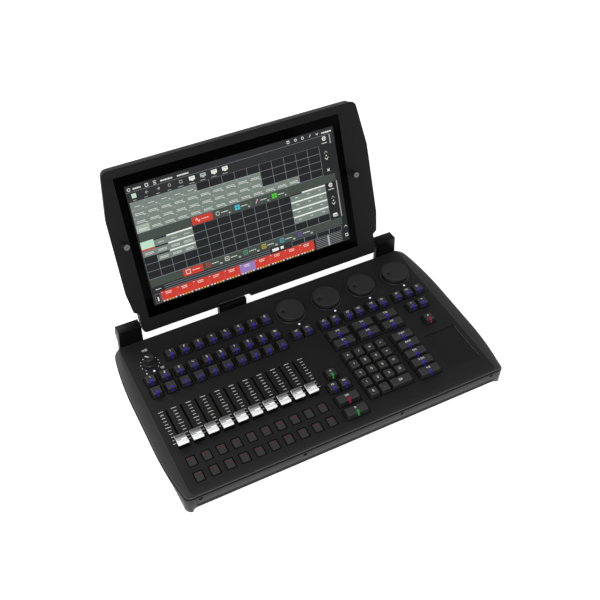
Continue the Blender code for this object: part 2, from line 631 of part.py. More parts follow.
def make_lid(axis):
    glass_u, glass_v = centred(GLASS_CENTRE[0], GLASS_SIZE[0]), centred(GLASS_CENTRE[1], GLASS_SIZE[1])
    opening_u = centred(GLASS_CENTRE[0], GLASS_SIZE[0] + 2 * GAP)
    opening_v = centred(GLASS_CENTRE[1], GLASS_SIZE[1] + 2 * GAP)
    notch = lid_box(NOTCH_X, (-5, NOTCH_TOP), (-40, 10))

    bezel = prism("lid_bezel", lid_outline(), -BEZEL_THICKNESS - HINGE_W, -HINGE_W)
    cut(bezel, blocks("bezel_openings", [lid_box(opening_u, opening_v, (-8, 4)), notch]))
    finish(bezel, axis, (0, 0, 0), SATIN, 0.5)

    back = prism("lid_back", lid_outline(LID_BACK_INSET), -LID_THICKNESS - HINGE_W,
                 -BEZEL_THICKNESS - GAP - HINGE_W)
    pocket = lid_box((-199, 196), (26, 250), (-LID_THICKNESS + 2.2, 5))
    cut(back, blocks("back_pocket", [pocket, notch]))
    for side in (-1, 1):
        low, high = sorted((side * 196.5, side * 215))
        cut(back, cylinders(f"lid_bore_{side + 1}", [(0, 0, 0)], PIN_RADIUS + 0.06, low, high, axis="X"))
    finish(back, axis, (0, 0, 0), BLACK, 0.5)

    glass = blocks("touch_glass", [lid_box(glass_u, glass_v, (-GLASS_SIZE[2] - 0.1, -0.1))])
    finish(glass, axis, (0, 0, 0), GLASS, 0.06)
    u, v = GLASS_CENTRE
    screen = blocks("lcd_panel", [lid_box(centred(u, 364), centred(v, 215), (-9, -4))])
    raised = lid_box(centred(u, 360), centred(v, 211), (-5, -1.6))
    finish(join(screen, blocks("lcd_face", [raised])), axis, (0, 0, 0), STEEL, 0.4, 0.6)

    for name, side in (("bumper_left", -1), ("bumper_right", 1)):
        bumper = turned(name, [(0, BUMPER_LENGTH), (BUMPER_RADIUS - 0.8, BUMPER_LENGTH),
                               (BUMPER_RADIUS, BUMPER_LENGTH - 0.8), (BUMPER_RADIUS, GAP), (0, GAP)], 20)
        place = (GLASS_CENTRE[0] + side * BUMPER_REACH, BUMPER_V - HINGE_V, -HINGE_W)
        finish(bumper, axis, place, BLACK, 0.7)


def main():
    deck = bpy.data.objects.new("deck_frame", None)
    deck.location = (0, DECK_Y * MM, DECK_HEIGHT * MM)
    hinge = bpy.data.objects.new("lid_hinge_axis", None)
    hinge.parent = deck
    hinge.location = (0, HINGE_Y * MM, HINGE_Z * MM)
    hinge.rotation_euler.x = LEAN
    for empty in (deck, hinge):
        PARTS.objects.link(empty)

    make_tray(deck)
    make_top_panel(deck)
    make_cheek("cheek_left", -1, deck)
    make_cheek("cheek_right", 1, deck)
    make_front_rail(deck)
    make_rear_panel(deck)
    for name, side in (("left", -1), ("right", 1)):
        make_hinge_block(f"hinge_block_{name}", side, deck)
        make_hinge_pin(f"hinge_pin_{name}", side, deck)
    make_cable_duct(deck)
    make_boards(deck)
    make_connector_board(deck)
    make_power_inlet(deck)
    make_trackpad(deck)
    make_feet(deck)
    make_fader_caps(deck)
    make_wheels(deck)
    make_knob(deck)
    make_keys(deck)
    make_lid(hinge)
    bpy.context.view_layer.update()


clear_scene()
PARTS = make_collection("lighting_control_desk")
CUTTERS = make_collection("cutters")
main()
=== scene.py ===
"""Looks of the lighting control desk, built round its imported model.

Shapes are drawn in millimetres. The deck frame has X to the right, Y to the rear from the panel's rear edge
and Z up from the panel's face. The lid frame has X along the hinge, Y up the screen and Z out of it.
"""
import json
import math
import random

import bmesh
import bpy
from mathutils import Matrix, Vector


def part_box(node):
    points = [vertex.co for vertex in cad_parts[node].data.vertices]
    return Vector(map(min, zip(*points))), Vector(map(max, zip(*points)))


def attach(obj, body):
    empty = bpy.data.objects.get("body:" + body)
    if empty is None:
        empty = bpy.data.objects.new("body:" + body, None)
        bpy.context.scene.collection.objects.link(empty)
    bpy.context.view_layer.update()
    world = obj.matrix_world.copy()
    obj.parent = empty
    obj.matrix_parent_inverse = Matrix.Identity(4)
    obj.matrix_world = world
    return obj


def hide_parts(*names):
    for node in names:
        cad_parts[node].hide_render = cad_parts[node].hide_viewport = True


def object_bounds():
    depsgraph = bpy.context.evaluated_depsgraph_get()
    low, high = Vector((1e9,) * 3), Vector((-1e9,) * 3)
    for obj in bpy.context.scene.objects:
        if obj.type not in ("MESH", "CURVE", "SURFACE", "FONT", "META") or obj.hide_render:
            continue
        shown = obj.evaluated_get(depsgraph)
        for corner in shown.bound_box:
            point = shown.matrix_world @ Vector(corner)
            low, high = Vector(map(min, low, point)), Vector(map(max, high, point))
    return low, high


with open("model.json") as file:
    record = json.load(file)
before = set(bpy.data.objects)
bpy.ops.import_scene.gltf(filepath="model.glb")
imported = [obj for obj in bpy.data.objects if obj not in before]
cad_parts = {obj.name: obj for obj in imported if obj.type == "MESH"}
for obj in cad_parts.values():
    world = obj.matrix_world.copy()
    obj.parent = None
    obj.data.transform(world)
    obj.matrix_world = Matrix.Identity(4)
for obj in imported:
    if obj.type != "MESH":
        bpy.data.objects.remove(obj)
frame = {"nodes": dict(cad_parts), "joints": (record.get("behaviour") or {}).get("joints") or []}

cad_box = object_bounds()

MM = 0.001
panel_low, panel_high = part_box("top_panel")
DECK = Matrix.Translation((0, panel_high.y, panel_high.z)) @ Matrix.Scale(MM, 4)
hinge = next(j for j in frame["joints"] if j["name"] == "lid_hinge")
LEAN = math.radians(67.11)
LID = (Matrix.Translation(hinge["pos_m"]) @ Matrix.Rotation(LEAN, 4, "X")
       @ Matrix.Translation(Vector((0, -12.65, 8.5)) * MM) @ Matrix.Scale(MM, 4))

COLUMN_X = [-228.8 + 22.96 * i for i in range(10)]
KEY, WIDE = 17.4, 36.8
KEY_TAPER = 2.1  # each side, base to top
KEY_HEIGHT, PAD_KEY_HEIGHT = 8.0, 7.0
FADER_Y = -207.2
WHEEL_X = [21.8 + 65.14 * i for i in range(4)]
WHEEL_Y = -50.0
FRONT_Y = -299.0  # face of the front rail
PANEL_SIDE = 250.8  # half width of the flat panel between the cheeks
KNOB_AT = (-218.0, -50.5)
POINTER = 140.0  # degrees, the way the knob's white line points


# ---------------------------------------------------------------- materials


def linear(code):
    """Linear colour from a hex code."""
    values = [int(code[i:i + 2], 16) / 255 for i in (1, 3, 5)]
    return [v / 12.92 if v <= 0.04045 else ((v + 0.055) / 1.055) ** 2.4 for v in values]


def scaled(color, factor):
    return [min(1.0, c * factor) for c in color]


def surface(name, color, roughness, metallic=0.0, specular=0.3, mottle=0.15, mottle_scale=18.0, grain=0.15,
            grain_scale=1400.0, grain_depth=0.00006, stretch=None, worn=0.0, emission=None, strength=1.0,
            rough_swing=0.06):
    """A surface with broad colour variation, uneven gloss, a fine grain and, if asked for, rubbed edges."""
    made = bpy.data.materials.new(name)
    made.use_nodes = True
    tree = made.node_tree
    shader = tree.nodes["Principled BSDF"]
    link, new = tree.links.new, tree.nodes.new
    place = new("ShaderNodeTexCoord")
    coords = place.outputs["Object"]
    if stretch:
        squeeze = new("ShaderNodeMapping")
        squeeze.inputs["Scale"].default_value = stretch
        link(coords, squeeze.inputs["Vector"])
        coords = squeeze.outputs["Vector"]

    def noise(scale, detail, rough=0.55):
        made_noise = new("ShaderNodeTexNoise")
        for socket, value in (("Scale", scale), ("Detail", detail), ("Roughness", rough)):
            made_noise.inputs[socket].default_value = value
        link(coords, made_noise.inputs["Vector"])
        return made_noise.outputs["Fac"]

    def remap(value, from_range, to_range):
        node = new("ShaderNodeMapRange")
        for name, bounds in (("From", from_range), ("To", to_range)):
            node.inputs[name + " Min"].default_value, node.inputs[name + " Max"].default_value = bounds
        link(value, node.inputs["Value"])
        return node.outputs["Result"]

    def blend(kind="MIX"):
        node = new("ShaderNodeMix")
        node.data_type = "RGBA"
        node.blend_type = kind
        return node

    broad = noise(mottle_scale, 3.0)
    fine = noise(grain_scale, 2.0, 0.7)
    tint = blend()
    tint.inputs["A"].default_value = (*scaled(color, 1 - mottle), 1)
    tint.inputs["B"].default_value = (*scaled(color, 1 + mottle), 1)
    link(broad, tint.inputs["Factor"])
    speck = blend("MULTIPLY")
    speck.inputs["Factor"].default_value = min(1.0, grain * 1.5)
    link(tint.outputs["Result"], speck.inputs["A"])
    link(remap(fine, (0.3, 0.7), (0.6, 1.4)), speck.inputs["B"])
    base = speck.outputs["Result"]
    if worn:
        shape = new("ShaderNodeNewGeometry")
        rubbed = blend()
        rubbed.inputs["B"].default_value = (*scaled(color, 3.0), 1)
        link(remap(shape.outputs["Pointiness"], (0.52, 0.62), (0.0, worn)), rubbed.inputs["Factor"])
        link(base, rubbed.inputs["A"])
        base = rubbed.outputs["Result"]
    link(base, shader.inputs["Base Color"])
    gloss = remap(noise(mottle_scale * 4, 2.0), (0.0, 1.0),
                  (max(0.02, roughness - rough_swing), min(1.0, roughness + rough_swing)))
    link(gloss, shader.inputs["Roughness"])
    if grain:
        bump = new("ShaderNodeBump")
        bump.inputs["Strength"].default_value = grain
        bump.inputs["Distance"].default_value = grain_depth
        link(fine, bump.inputs["Height"])
        link(bump.outputs["Normal"], shader.inputs["Normal"])
    shader.inputs["Metallic"].default_value = metallic
    shader.inputs["Specular IOR Level"].default_value = specular
    if emission:
        shader.inputs["Emission Color"].default_value = (*emission, 1)
        shader.inputs["Emission Strength"].default_value = strength
    return made


def lit(name, code, strength=1.0):
    """A colour of the lit picture or of a lamp, showing through a dark gloss face."""
    color = linear(code)
    return surface(name, scaled(color, 0.05), 0.2, specular=0.1, mottle=0.2, grain=0, emission=color,
                   strength=strength)


PANEL = surface("panel_powder_coat", (0.0105, 0.0105, 0.0107), 0.55, specular=0.28, mottle=0.12, grain=0.35,
                grain_scale=2200, worn=0.3)
SHELL = surface("cheek_satin", (0.030, 0.030, 0.031), 0.42, specular=0.35, mottle=0.1, grain=0.2,
                grain_scale=2600, worn=0.25)
RAIL = surface("rail_satin_metal", (0.0195, 0.0195, 0.02), 0.46, metallic=0.1, specular=0.22, mottle=0.08,
               grain=0.15, grain_scale=900, stretch=(0.08, 1, 1), worn=0.25)
# lighter grey on the rounded lip along the deck's edge: a painted highlight on the rim
RIM_HIGHLIGHT = surface("edge_rim_painted_highlight", (0.055, 0.055, 0.056), 0.4, specular=0.35, mottle=0.08, grain=0.15,
              grain_scale=2400)
# near black in the groove under the rim: painted shade in the recess
GROOVE_SHADE = surface("edge_groove_painted_shade", (0.006, 0.006, 0.006), 0.7, specular=0.08, grain=0.1)
# near black: painted shade on the rail's undercut below its face; the rail's screw heads use it too
UNDER_EDGE = surface("under_edge", (0.0035, 0.0035, 0.0035), 0.6, specular=0.06, grain=0.15)
CHASSIS = surface("chassis_powder_coat", (0.014, 0.014, 0.015), 0.55, grain=0.35, grain_scale=2000, worn=0.3)
COVER = surface("hinge_cover_black", (0.0022, 0.0022, 0.0023), 0.34, specular=0.13, grain=0.1,
                grain_scale=2600, worn=0.4)
STEEL = surface("ground_steel", (0.5, 0.5, 0.51), 0.28, metallic=1.0, mottle=0.08, grain=0.2, grain_scale=900,
                stretch=(1, 1, 0.05))
DARK_STEEL = surface("black_screw", (0.05, 0.05, 0.052), 0.35, metallic=0.9, grain=0.1)
DARK_BOARD = surface("unlit_board", (0.003, 0.003, 0.003), 0.7, specular=0.05, mottle=0.3, grain=0.1)
BOARD = surface("circuit_board", (0.02, 0.11, 0.05), 0.4, mottle=0.3, mottle_scale=120, grain=0.1)
SUPPLY = surface("supply_case", (0.5, 0.5, 0.51), 0.35, metallic=0.9, mottle=0.1, stretch=(0.1, 1, 1))
TRACKPAD = surface("trackpad_face", (0.0105, 0.0105, 0.0107), 0.4, specular=0.25, mottle=0.08, grain=0.12,
                   grain_scale=3200)
SOCKET = surface("socket_black", (0.012, 0.012, 0.012), 0.4, grain=0.12)
BEZEL = surface("bezel_satin", (0.0062, 0.0062, 0.0064), 0.5, specular=0.13, mottle=0.1, grain=0.25,
                grain_scale=2400, worn=0.3)
LID_SHELL = surface("lid_shell_black", (0.007, 0.007, 0.0073), 0.55, specular=0.14, mottle=0.12, grain=0.35,
                    grain_scale=1800, worn=0.35)
GLASS = surface("cover_glass", (0.0004, 0.0004, 0.0005), 0.07, specular=0.02, mottle=0.3, grain=0,
                rough_swing=0.02)
RUBBER = surface("rubber_black", (0.012, 0.012, 0.012), 0.75, specular=0.2, grain=0.3, grain_scale=1500)
BUMPER_TOP = surface("bumper_top", (0.14, 0.14, 0.141), 0.55, grain=0.25, grain_scale=1500)
# white with a faint emission: a painted glow that brightens the caps past what the lights give
CAP_WHITE_GLOW = surface("fader_cap_white_painted_glow", (0.95, 0.95, 0.95), 0.3, specular=0.4, mottle=0.03, grain=0.05,
                    emission=(1.0, 1.0, 1.0), strength=0.1)
CAP_SHADE = surface("fader_cap_shade", (0.42, 0.42, 0.425), 0.2, metallic=0.3, specular=0.5, mottle=0.15,
                    mottle_scale=90, grain=0.05)
CAP_MARK = surface("fader_cap_mark", (0.09, 0.09, 0.09), 0.3, specular=0.3, mottle=0.2, grain=0.05)
CAP_SKIRT = surface("fader_cap_skirt", (0.002, 0.002, 0.002), 0.5, specular=0.08, grain=0.15)
CAP_DEEP = surface("fader_cap_deep_shade", (0.17, 0.17, 0.172), 0.2, metallic=0.3, specular=0.5, mottle=0.4,
                   mottle_scale=140, grain=0.05)
WHEEL = surface("wheel_soft_grey", (0.031, 0.031, 0.0315), 0.6, specular=0.15, mottle=0.06, grain=0.25,
                grain_scale=3000)
WHEEL_SIDE = surface("wheel_side_black", (0.009, 0.009, 0.009), 0.5, specular=0.2, grain=0.2)
KNOB = surface("knob_black", (0.011, 0.011, 0.011), 0.42, specular=0.35, grain=0.15, worn=0.3)
KEYCAP = surface("keycap_satin", (0.037, 0.037, 0.0365), 0.5, specular=0.26, mottle=0.12, mottle_scale=60,
                 grain=0.25, grain_scale=3200, worn=0.3)
# a darker copy of the keycap colour for the keys' walls: painted shade on the sides
KEY_SIDE_SHADE = surface("keycap_side_painted_shade", (0.012, 0.012, 0.012), 0.5, specular=0.2, mottle=0.1, grain=0.2,
                   grain_scale=3200)
FLAT_CAP = surface("flat_key_smoked", (0.042, 0.040, 0.040), 0.3, specular=0.3, mottle=0.15, mottle_scale=70,
                   grain=0.1, grain_scale=3200)
GAP_BLACK = surface("keywell_black", (0.002, 0.002, 0.002), 0.8, specular=0.05, grain=0.1)
INK = surface("printed_white", (0.92, 0.92, 0.9), 0.5, specular=0.2, mottle=0.12, mottle_scale=200, grain=0.1)
# grey for the line along the trackpad recess's right edge: a painted highlight of the lit wall, not print
TRACKPAD_EDGE_HIGHLIGHT = surface("trackpad_edge_painted_highlight", (0.14, 0.14, 0.14), 0.5, specular=0.2, mottle=0.12, mottle_scale=200,
                  grain=0.1)
EDGE_LINE = surface("fine_edge", (0.10, 0.10, 0.10), 0.35, metallic=0.5, grain=0.1)
BRASS = surface("contact_gold", (0.75, 0.55, 0.22), 0.3, metallic=1.0, grain=0.05)
LED_BLUE = lit("led_blue", "#2b1c9c", 0.75)
LED_BLUE_HOT = lit("led_blue_hot", "#4533c2", 0.85)
LED_RED = lit("led_red", "#b41c34", 0.65)
LED_GREEN = lit("led_green", "#22aa42", 0.65)
LED_WHITE = lit("led_white", "#e6e2ff", 1.2)
MARK_RED = lit("mark_red", "#8e1530", 0.75)


# ---------------------------------------------------------------- mesh making


class Piece:
    """A mesh being drawn in one frame's millimetres, with a material for each of its shapes."""

    def __init__(self):
        self.mesh = bmesh.new()
        self.materials = []

    def paint(self, faces, material):
        if material not in self.materials:
            self.materials.append(material)
        for face in faces:
            face.material_index = self.materials.index(material)
            face.smooth = True

    def loft(self, rings, material, low=True, high=True, around=True, accents=None):
        """Walls between rings of the same count, capped where asked; accents repaints strips."""
        made = [[self.mesh.verts.new(point) for point in ring] for ring in rings]
        faces = []
        count = len(rings[0])
        for near, far in zip(made, made[1:]):
            for i in range(count if around else count - 1):
                k = (i + 1) % count
                faces.append(self.mesh.faces.new((near[i], near[k], far[k], far[i])))
        if low:
            faces.append(self.mesh.faces.new(made[0]))
        if high:
            faces.append(self.mesh.faces.new(made[-1]))
        self.paint(faces, material)
        for strip, accent in (accents or {}).items():
            self.paint(faces[strip:(len(made) - 1) * count:count], accent)
        return faces

    def slab(self, low, high, material, bevel=0.0, radius=0.0):
        """A plate or block with rounded corners and softened edges."""
        (x0, y0, z0), (x1, y1, z1) = low, high
        steps = [(0, z0), (0, z1)]
        if bevel:
            steps = [(bevel, z0), (bevel * 0.3, z0 + bevel * 0.3), (0, z0 + bevel), (0, z1 - bevel),
                     (bevel * 0.3, z1 - bevel * 0.3), (bevel, z1)]
        rings = [rounded_rect((x0 + x1) / 2, (y0 + y1) / 2, (x1 - x0) / 2 - inset, (y1 - y0) / 2 - inset,
                              max(radius - inset, 0), z, 4 if radius > 2 else 2) for inset, z in steps]
        return self.loft(rings, material)

    def lathe(self, centre, profile, material, steps=48, axis="Z", wave=None):
        """A profile of (radius, height) turned round an axis, Y or Z, through the centre."""
        rings = []
        for radius, height in profile:
            ring = []
            for k in range(steps):
                a = 2 * math.pi * k / steps
                r = max(radius, 0.01) * (wave(a, height) if wave else 1)
                across, along = r * math.cos(a), r * math.sin(a)
                point = (across, along, height) if axis == "Z" else (across, height, along)
                ring.append(Vector(centre) + Vector(point))
            rings.append(ring)
        return self.loft(rings, material)

    def stroke(self, points, width, z, material, thick=0.06):
        """A printed line of even width along flat points."""
        points = [Vector(p) for p in points]
        rings = []
        for i, here in enumerate(points):
            before = points[i - 1] if i else None
            after = points[i + 1] if i < len(points) - 1 else None
            ways = [(here - before).normalized() if before else None,
                    (after - here).normalized() if after else None]
            ways = [w for w in ways if w is not None]
            way = sum(ways, Vector((0, 0))).normalized()
            side = Vector((-way.y, way.x))
            reach = width / 2 / max(0.5, side.dot(Vector((-ways[0].y, ways[0].x))))
            rings.append([(*(here + side * reach), z), (*(here - side * reach), z),
                          (*(here - side * reach), z + thick), (*(here + side * reach), z + thick)])
        return self.loft(rings, material)

    def done(self, name, body, place, replaces=(), sharp=32):
        bmesh.ops.recalc_face_normals(self.mesh, faces=self.mesh.faces)
        self.mesh.transform(place)
        return placed(name, self.mesh, self.materials, body, replaces, sharp)


def placed(name, shape, materials, body, replaces, sharp):
    """The object made from a finished mesh, riding its body."""
    data = bpy.data.meshes.new(name)
    shape.to_mesh(data)
    shape.free()
    for material in materials:
        data.materials.append(material)
    data.set_sharp_from_angle(angle=math.radians(sharp))
    piece = bpy.data.objects.new(name, data)
    bpy.context.scene.collection.objects.link(piece)
    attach(piece, body)
    if replaces:
        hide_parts(*replaces)
    return piece


def rounded_rect(x, y, half_x, half_y, radius, z, steps=3):
    """Points round a rectangle with arcs at its corners."""
    points = []
    radius = min(radius, half_x, half_y)
    for corner, (sx, sy) in enumerate(((1, 1), (-1, 1), (-1, -1), (1, -1))):
        for k in range(steps + 1):
            a = math.pi / 2 * (corner + k / steps)
            points.append((x + sx * (half_x - radius) + radius * math.cos(a),
                           y + sy * (half_y - radius) + radius * math.sin(a), z))
    return points


def arc(x, y, radius, start, end, steps=12):
    angles = [math.radians(start + (end - start) * k / steps) for k in range(steps + 1)]
    return [(x + radius * math.cos(a), y + radius * math.sin(a)) for a in angles]


def surround(piece, x, y, inner, outer, heights, material, steps=2):
    """A frame let into the panel. Inner and outer are (half width, half depth, corner radius)."""
    floor, lip, edge = heights
    rings = [rounded_rect(x, y, *sizes, z, steps)
             for sizes, z in ((inner, floor), (inner, lip), (outer, edge), (outer, 0.0))]
    piece.loft(rings, material, False, False)


def softened(node, name, body, material, width, segments=3, angle=25):
    """A copy of a CAD node with its coplanar triangles merged and its edges rounded."""
    source = frame["nodes"][node]
    shape = bmesh.new()
    shape.from_mesh(source.data)
    bmesh.ops.remove_doubles(shape, verts=shape.verts, dist=0.000002)
    bmesh.ops.dissolve_limit(shape, angle_limit=math.radians(1.0), verts=shape.verts, edges=shape.edges)
    sharp = [e for e in shape.edges if len(e.link_faces) == 2
             and e.calc_face_angle(0) > math.radians(angle)]
    bmesh.ops.bevel(shape, geom=sharp, offset=width * MM, offset_type="OFFSET", segments=segments,
                    profile=0.5, affect="EDGES", clamp_overlap=True)
    for face in shape.faces:
        face.smooth = True
        face.material_index = 0
    return placed(name, shape, [material], body, [node], 32)


def repaint(material, *nodes):
    for node in nodes:
        data = frame["nodes"][node].data
        data.materials.clear()
        data.materials.append(material)


# ---------------------------------------------------------------- marks

DIGITS = {
    "0": [[(0, 0), (1, 0), (1, 2), (0, 2), (0, 0)]],
    "1": [[(0.2, 1.6), (0.6, 2), (0.6, 0)]],
    "2": [[(0, 2), (1, 2), (1, 1), (0, 1), (0, 0), (1, 0)]],
    "3": [[(0, 2), (1, 2), (1, 0), (0, 0)], [(0.2, 1), (1, 1)]],
    "4": [[(0, 2), (0, 1), (1, 1)], [(1, 2), (1, 0)]],
    "5": [[(1, 2), (0, 2), (0, 1), (1, 1), (1, 0), (0, 0)]],
    "6": [[(1, 2), (0, 2), (0, 0), (1, 0), (1, 1), (0, 1)]],
    "7": [[(0, 2), (1, 2), (0.4, 0)]],
    "8": [[(0, 0), (1, 0), (1, 2), (0, 2), (0, 0)], [(0, 1), (1, 1)]],
    "9": [[(0, 0), (1, 0), (1, 2), (0, 2), (0, 1), (1, 1)]],
}
SIGNS = {
    "ring": [arc(0.5, 0.5, 0.45, 0, 345)],
    "square": [[(0.05, 0.05), (0.95, 0.05), (0.95, 0.95), (0.05, 0.95), (0.05, 0.05)]],
    "triangle": [[(0.1, 0), (0.95, 0.5), (0.1, 1), (0.1, 0)]],
    "plus": [[(0.5, 0), (0.5, 1)], [(0, 0.5), (1, 0.5)]],
    "minus": [[(0, 0.5), (1, 0.5)]],
    "cross": [[(0.1, 0.1), (0.9, 0.9)], [(0.1, 0.9), (0.9, 0.1)]],
    "slash": [[(0.2, 0), (0.8, 1)]],
    "left": [[(0.5, 0), (0, 0.5), (0.5, 1)], [(0, 0.5), (1, 0.5)]],
    "right": [[(0.5, 0), (1, 0.5), (0.5, 1)], [(0, 0.5), (1, 0.5)]],
    "up": [[(0, 0.3), (0.5, 0.9), (1, 0.3)]],
    "down": [[(0, 0.7), (0.5, 0.1), (1, 0.7)]],
    "bars": [[(0, 0), (1, 0)], [(0, 0.5), (1, 0.5)], [(0, 1), (1, 1)]],
    "house": [[(0, 0.5), (0.5, 1), (1, 0.5)], [(0.2, 0.4), (0.2, 0), (0.8, 0), (0.8, 0.4)]],
    "wave": [[(k / 8, 0.5 + 0.45 * math.sin(k * math.pi / 4)) for k in range(9)]],
    "posts": [[(0.1, 0), (0.1, 1)], [(0.5, 0), (0.5, 1)], [(0.9, 0), (0.9, 1)]],
    "dot": [[(0.4, 0.1), (0.6, 0.1)]],
}


def draw(piece, figure, x, y, size, z, material, width=0.55):
    """One figure, its middle at x, y, as high as size."""
    digits = DIGITS.get(figure)
    lines = digits or SIGNS[figure]
    step = size / 2 if digits else size
    shift = (0.5, 1.0) if digits else (0.5, 0.5)
    for line in lines:
        piece.stroke([(x + (a - shift[0]) * step, y + (b - shift[1]) * step) for a, b in line], width, z,
                     material)


def write(piece, figures, x, y, size, z, material, width=0.55, pitch=None):
    """Several figures in a row round x."""
    pitch = pitch or size * 0.78
    for i, figure in enumerate(figures):
        draw(piece, figure, x + (i - (len(figures) - 1) / 2) * pitch, y, size, z, material, width)


# ---------------------------------------------------------------- console


def side_x(y):
    """Half width of the console at a depth."""
    if y > -110:
        return 271.0 - 0.00083 * (y + 110) ** 2
    if y < -200:
        return 271.0 - 0.0011 * (y + 200) ** 2
    return 271.0


# Edge of the deck, as distance in from the outermost face and height: rim, groove, then the skirt's top
EDGE = [(4.0, 0.0), (2.7, -0.25), (1.9, -0.8), (1.5, -1.5), (1.8, -1.9), (2.8, -2.2), (2.8, -3.1),
        (0.9, -3.25), (0.35, -3.6), (0.0, -4.4)]
CROWN = [(1.0, 0.0), (0.8, 0.03), (0.6, 0.12), (0.42, 0.28), (0.26, 0.5), (0.12, 0.76)]
CHEEK_DROP = 1.9
CHEEK_SHIFT = {-1: -1.5, 1: 1.3}  # the band is a little narrower on the left than on the right
REAR_ROUND = {-0.6: 5.5, -3: 2.8, -8: 0.8}
# Depth, lower edge and how far it is drawn in
CHEEK_RUN = [(-0.6, -24.0, 5.0), (-225, -24.0, 5.0), (-245, -24.5, 4.6), (-260, -27.2, 3.6),
             (-272, -30.6, 2.4), (-281, -33.4, 1.5)]
TIP, RAIL_BOTTOM = -34.5, -27.6
HOOK = {-1: 72, 1: 48}  # where round the corner the tip gives way to the rail


def edge_accents(first):
    """Strips of the rim, painted lighter as a painted highlight, and of the groove, painted near black as
    painted shade, when the edge starts at this point of the ring.
    """
    strips = {first + k: RIM_HIGHLIGHT for k in (1, 2, 3)}
    strips.update({first + k: GROOVE_SHADE for k in (4, 5, 6)})
    strips.update({first + k: RAIL for k in range(7, len(EDGE) + 3)})
    return strips


def cheek_ring(outer, inner, bottom, undercut, drop, side):
    """The band's section: crowned top, rim, groove and skirt, then the undercut wall."""
    outer, inner = Vector(outer), Vector(inner)
    inward = (inner - outer).normalized()
    width = (inner - outer).length
    shape = [(EDGE[0][0] + (width - EDGE[0][0]) * share, -drop * fall) for share, fall in CROWN]
    shape += [(reach, z - drop) for reach, z in EDGE]
    start = EDGE[-1][1] - drop
    drop_left = bottom - start
    shape += [(undercut * 0.3, start + drop_left * 0.45), (undercut * 0.62, start + drop_left * 0.75),
              (undercut * 0.85, bottom + 0.8), (undercut + 0.5, bottom)]
    ring = [(*(outer + inward * reach), z) for reach, z in shape] + [(*inner, bottom)]
    return [(side * x, y, z) for x, y, z in ring]


def along_run(y):
    """Lower edge and undercut at a depth."""
    for (y0, *near), (y1, *far) in zip(CHEEK_RUN, CHEEK_RUN[1:]):
        if y >= y1:
            share = (y - y0) / (y1 - y0)
            return [a + (b - a) * share for a, b in zip(near, far)]
    return CHEEK_RUN[-1][1:]


def make_cheek(name, side):
    piece = Piece()
    shift = CHEEK_SHIFT[side]
    depths = [-0.6, -3, -8, *range(-16, -281, -8), -281]
    rings = [cheek_ring((side_x(y) + shift - REAR_ROUND.get(y, 0), y), (PANEL_SIDE, y), *along_run(y),
                        CHEEK_DROP, side) for y in depths]
    outer_radius, inner_radius = 12, 4.3
    outer_centre = Vector((side_x(-285) + shift - outer_radius, -287))
    inner_centre = Vector((245.5, -288.5))
    for degrees in (0, 8, 16, 24, 32, 40, 48, 56, 64, 72, 74, 82, 90):
        a = math.radians(degrees)
        around = Vector((math.cos(a), -math.sin(a)))
        outer = outer_centre + around * outer_radius
        inner = inner_centre + around * inner_radius
        if degrees == 90:
            outer.x = inner.x
        hooked = degrees <= HOOK[side]
        drop = CHEEK_DROP * (0.5 + 0.5 * math.cos(2 * a))
        bottom, undercut = (TIP, 0.8) if hooked else (RAIL_BOTTOM, 1.8)
        rings.append(cheek_ring(outer, inner, bottom, undercut, drop, side))
    piece.loft(rings, SHELL, accents=edge_accents(len(CROWN)))
    piece.done(name, "console", DECK, [name], 40)


def make_rail():
    piece = Piece()
    lower = [(0.0, -16.0), (0.3, -16.8), (1.7, -26.6), (2.5, RAIL_BOTTOM), (13.0, RAIL_BOTTOM), (13.0, -8.0),
             (6.2, -6.0)]
    profile = [(6.2, -0.05)] + EDGE + lower
    accents = edge_accents(1)
    # the undercut strips are painted near black as painted shade under the rail
    accents.update({len(EDGE) + k: UNDER_EDGE for k in (2, 3, 4)})
    half = 245.2
    ends = [[(x, FRONT_Y + reach, z) for reach, z in profile] for x in (-half, half)]
    piece.loft(ends, RAIL, accents=accents)
    piece.done("front_rail_body", "console", DECK, ["front_rail"])
    screws = Piece()
    for x in (-239.5, -80, 80, 239.5):
        at = (x, FRONT_Y, -7.2)
        screws.lathe(at, [(2.9, 0.4), (2.9, -0.06), (2.3, -0.1)], GAP_BLACK, 20, "Y")
        screws.lathe(at, [(2.3, -0.1), (1.7, -0.16), (1.1, -0.1), (0.9, 0.3), (0, 0.3)], UNDER_EDGE, 20, "Y")
    screws.done("front_rail_screws", "console", DECK)


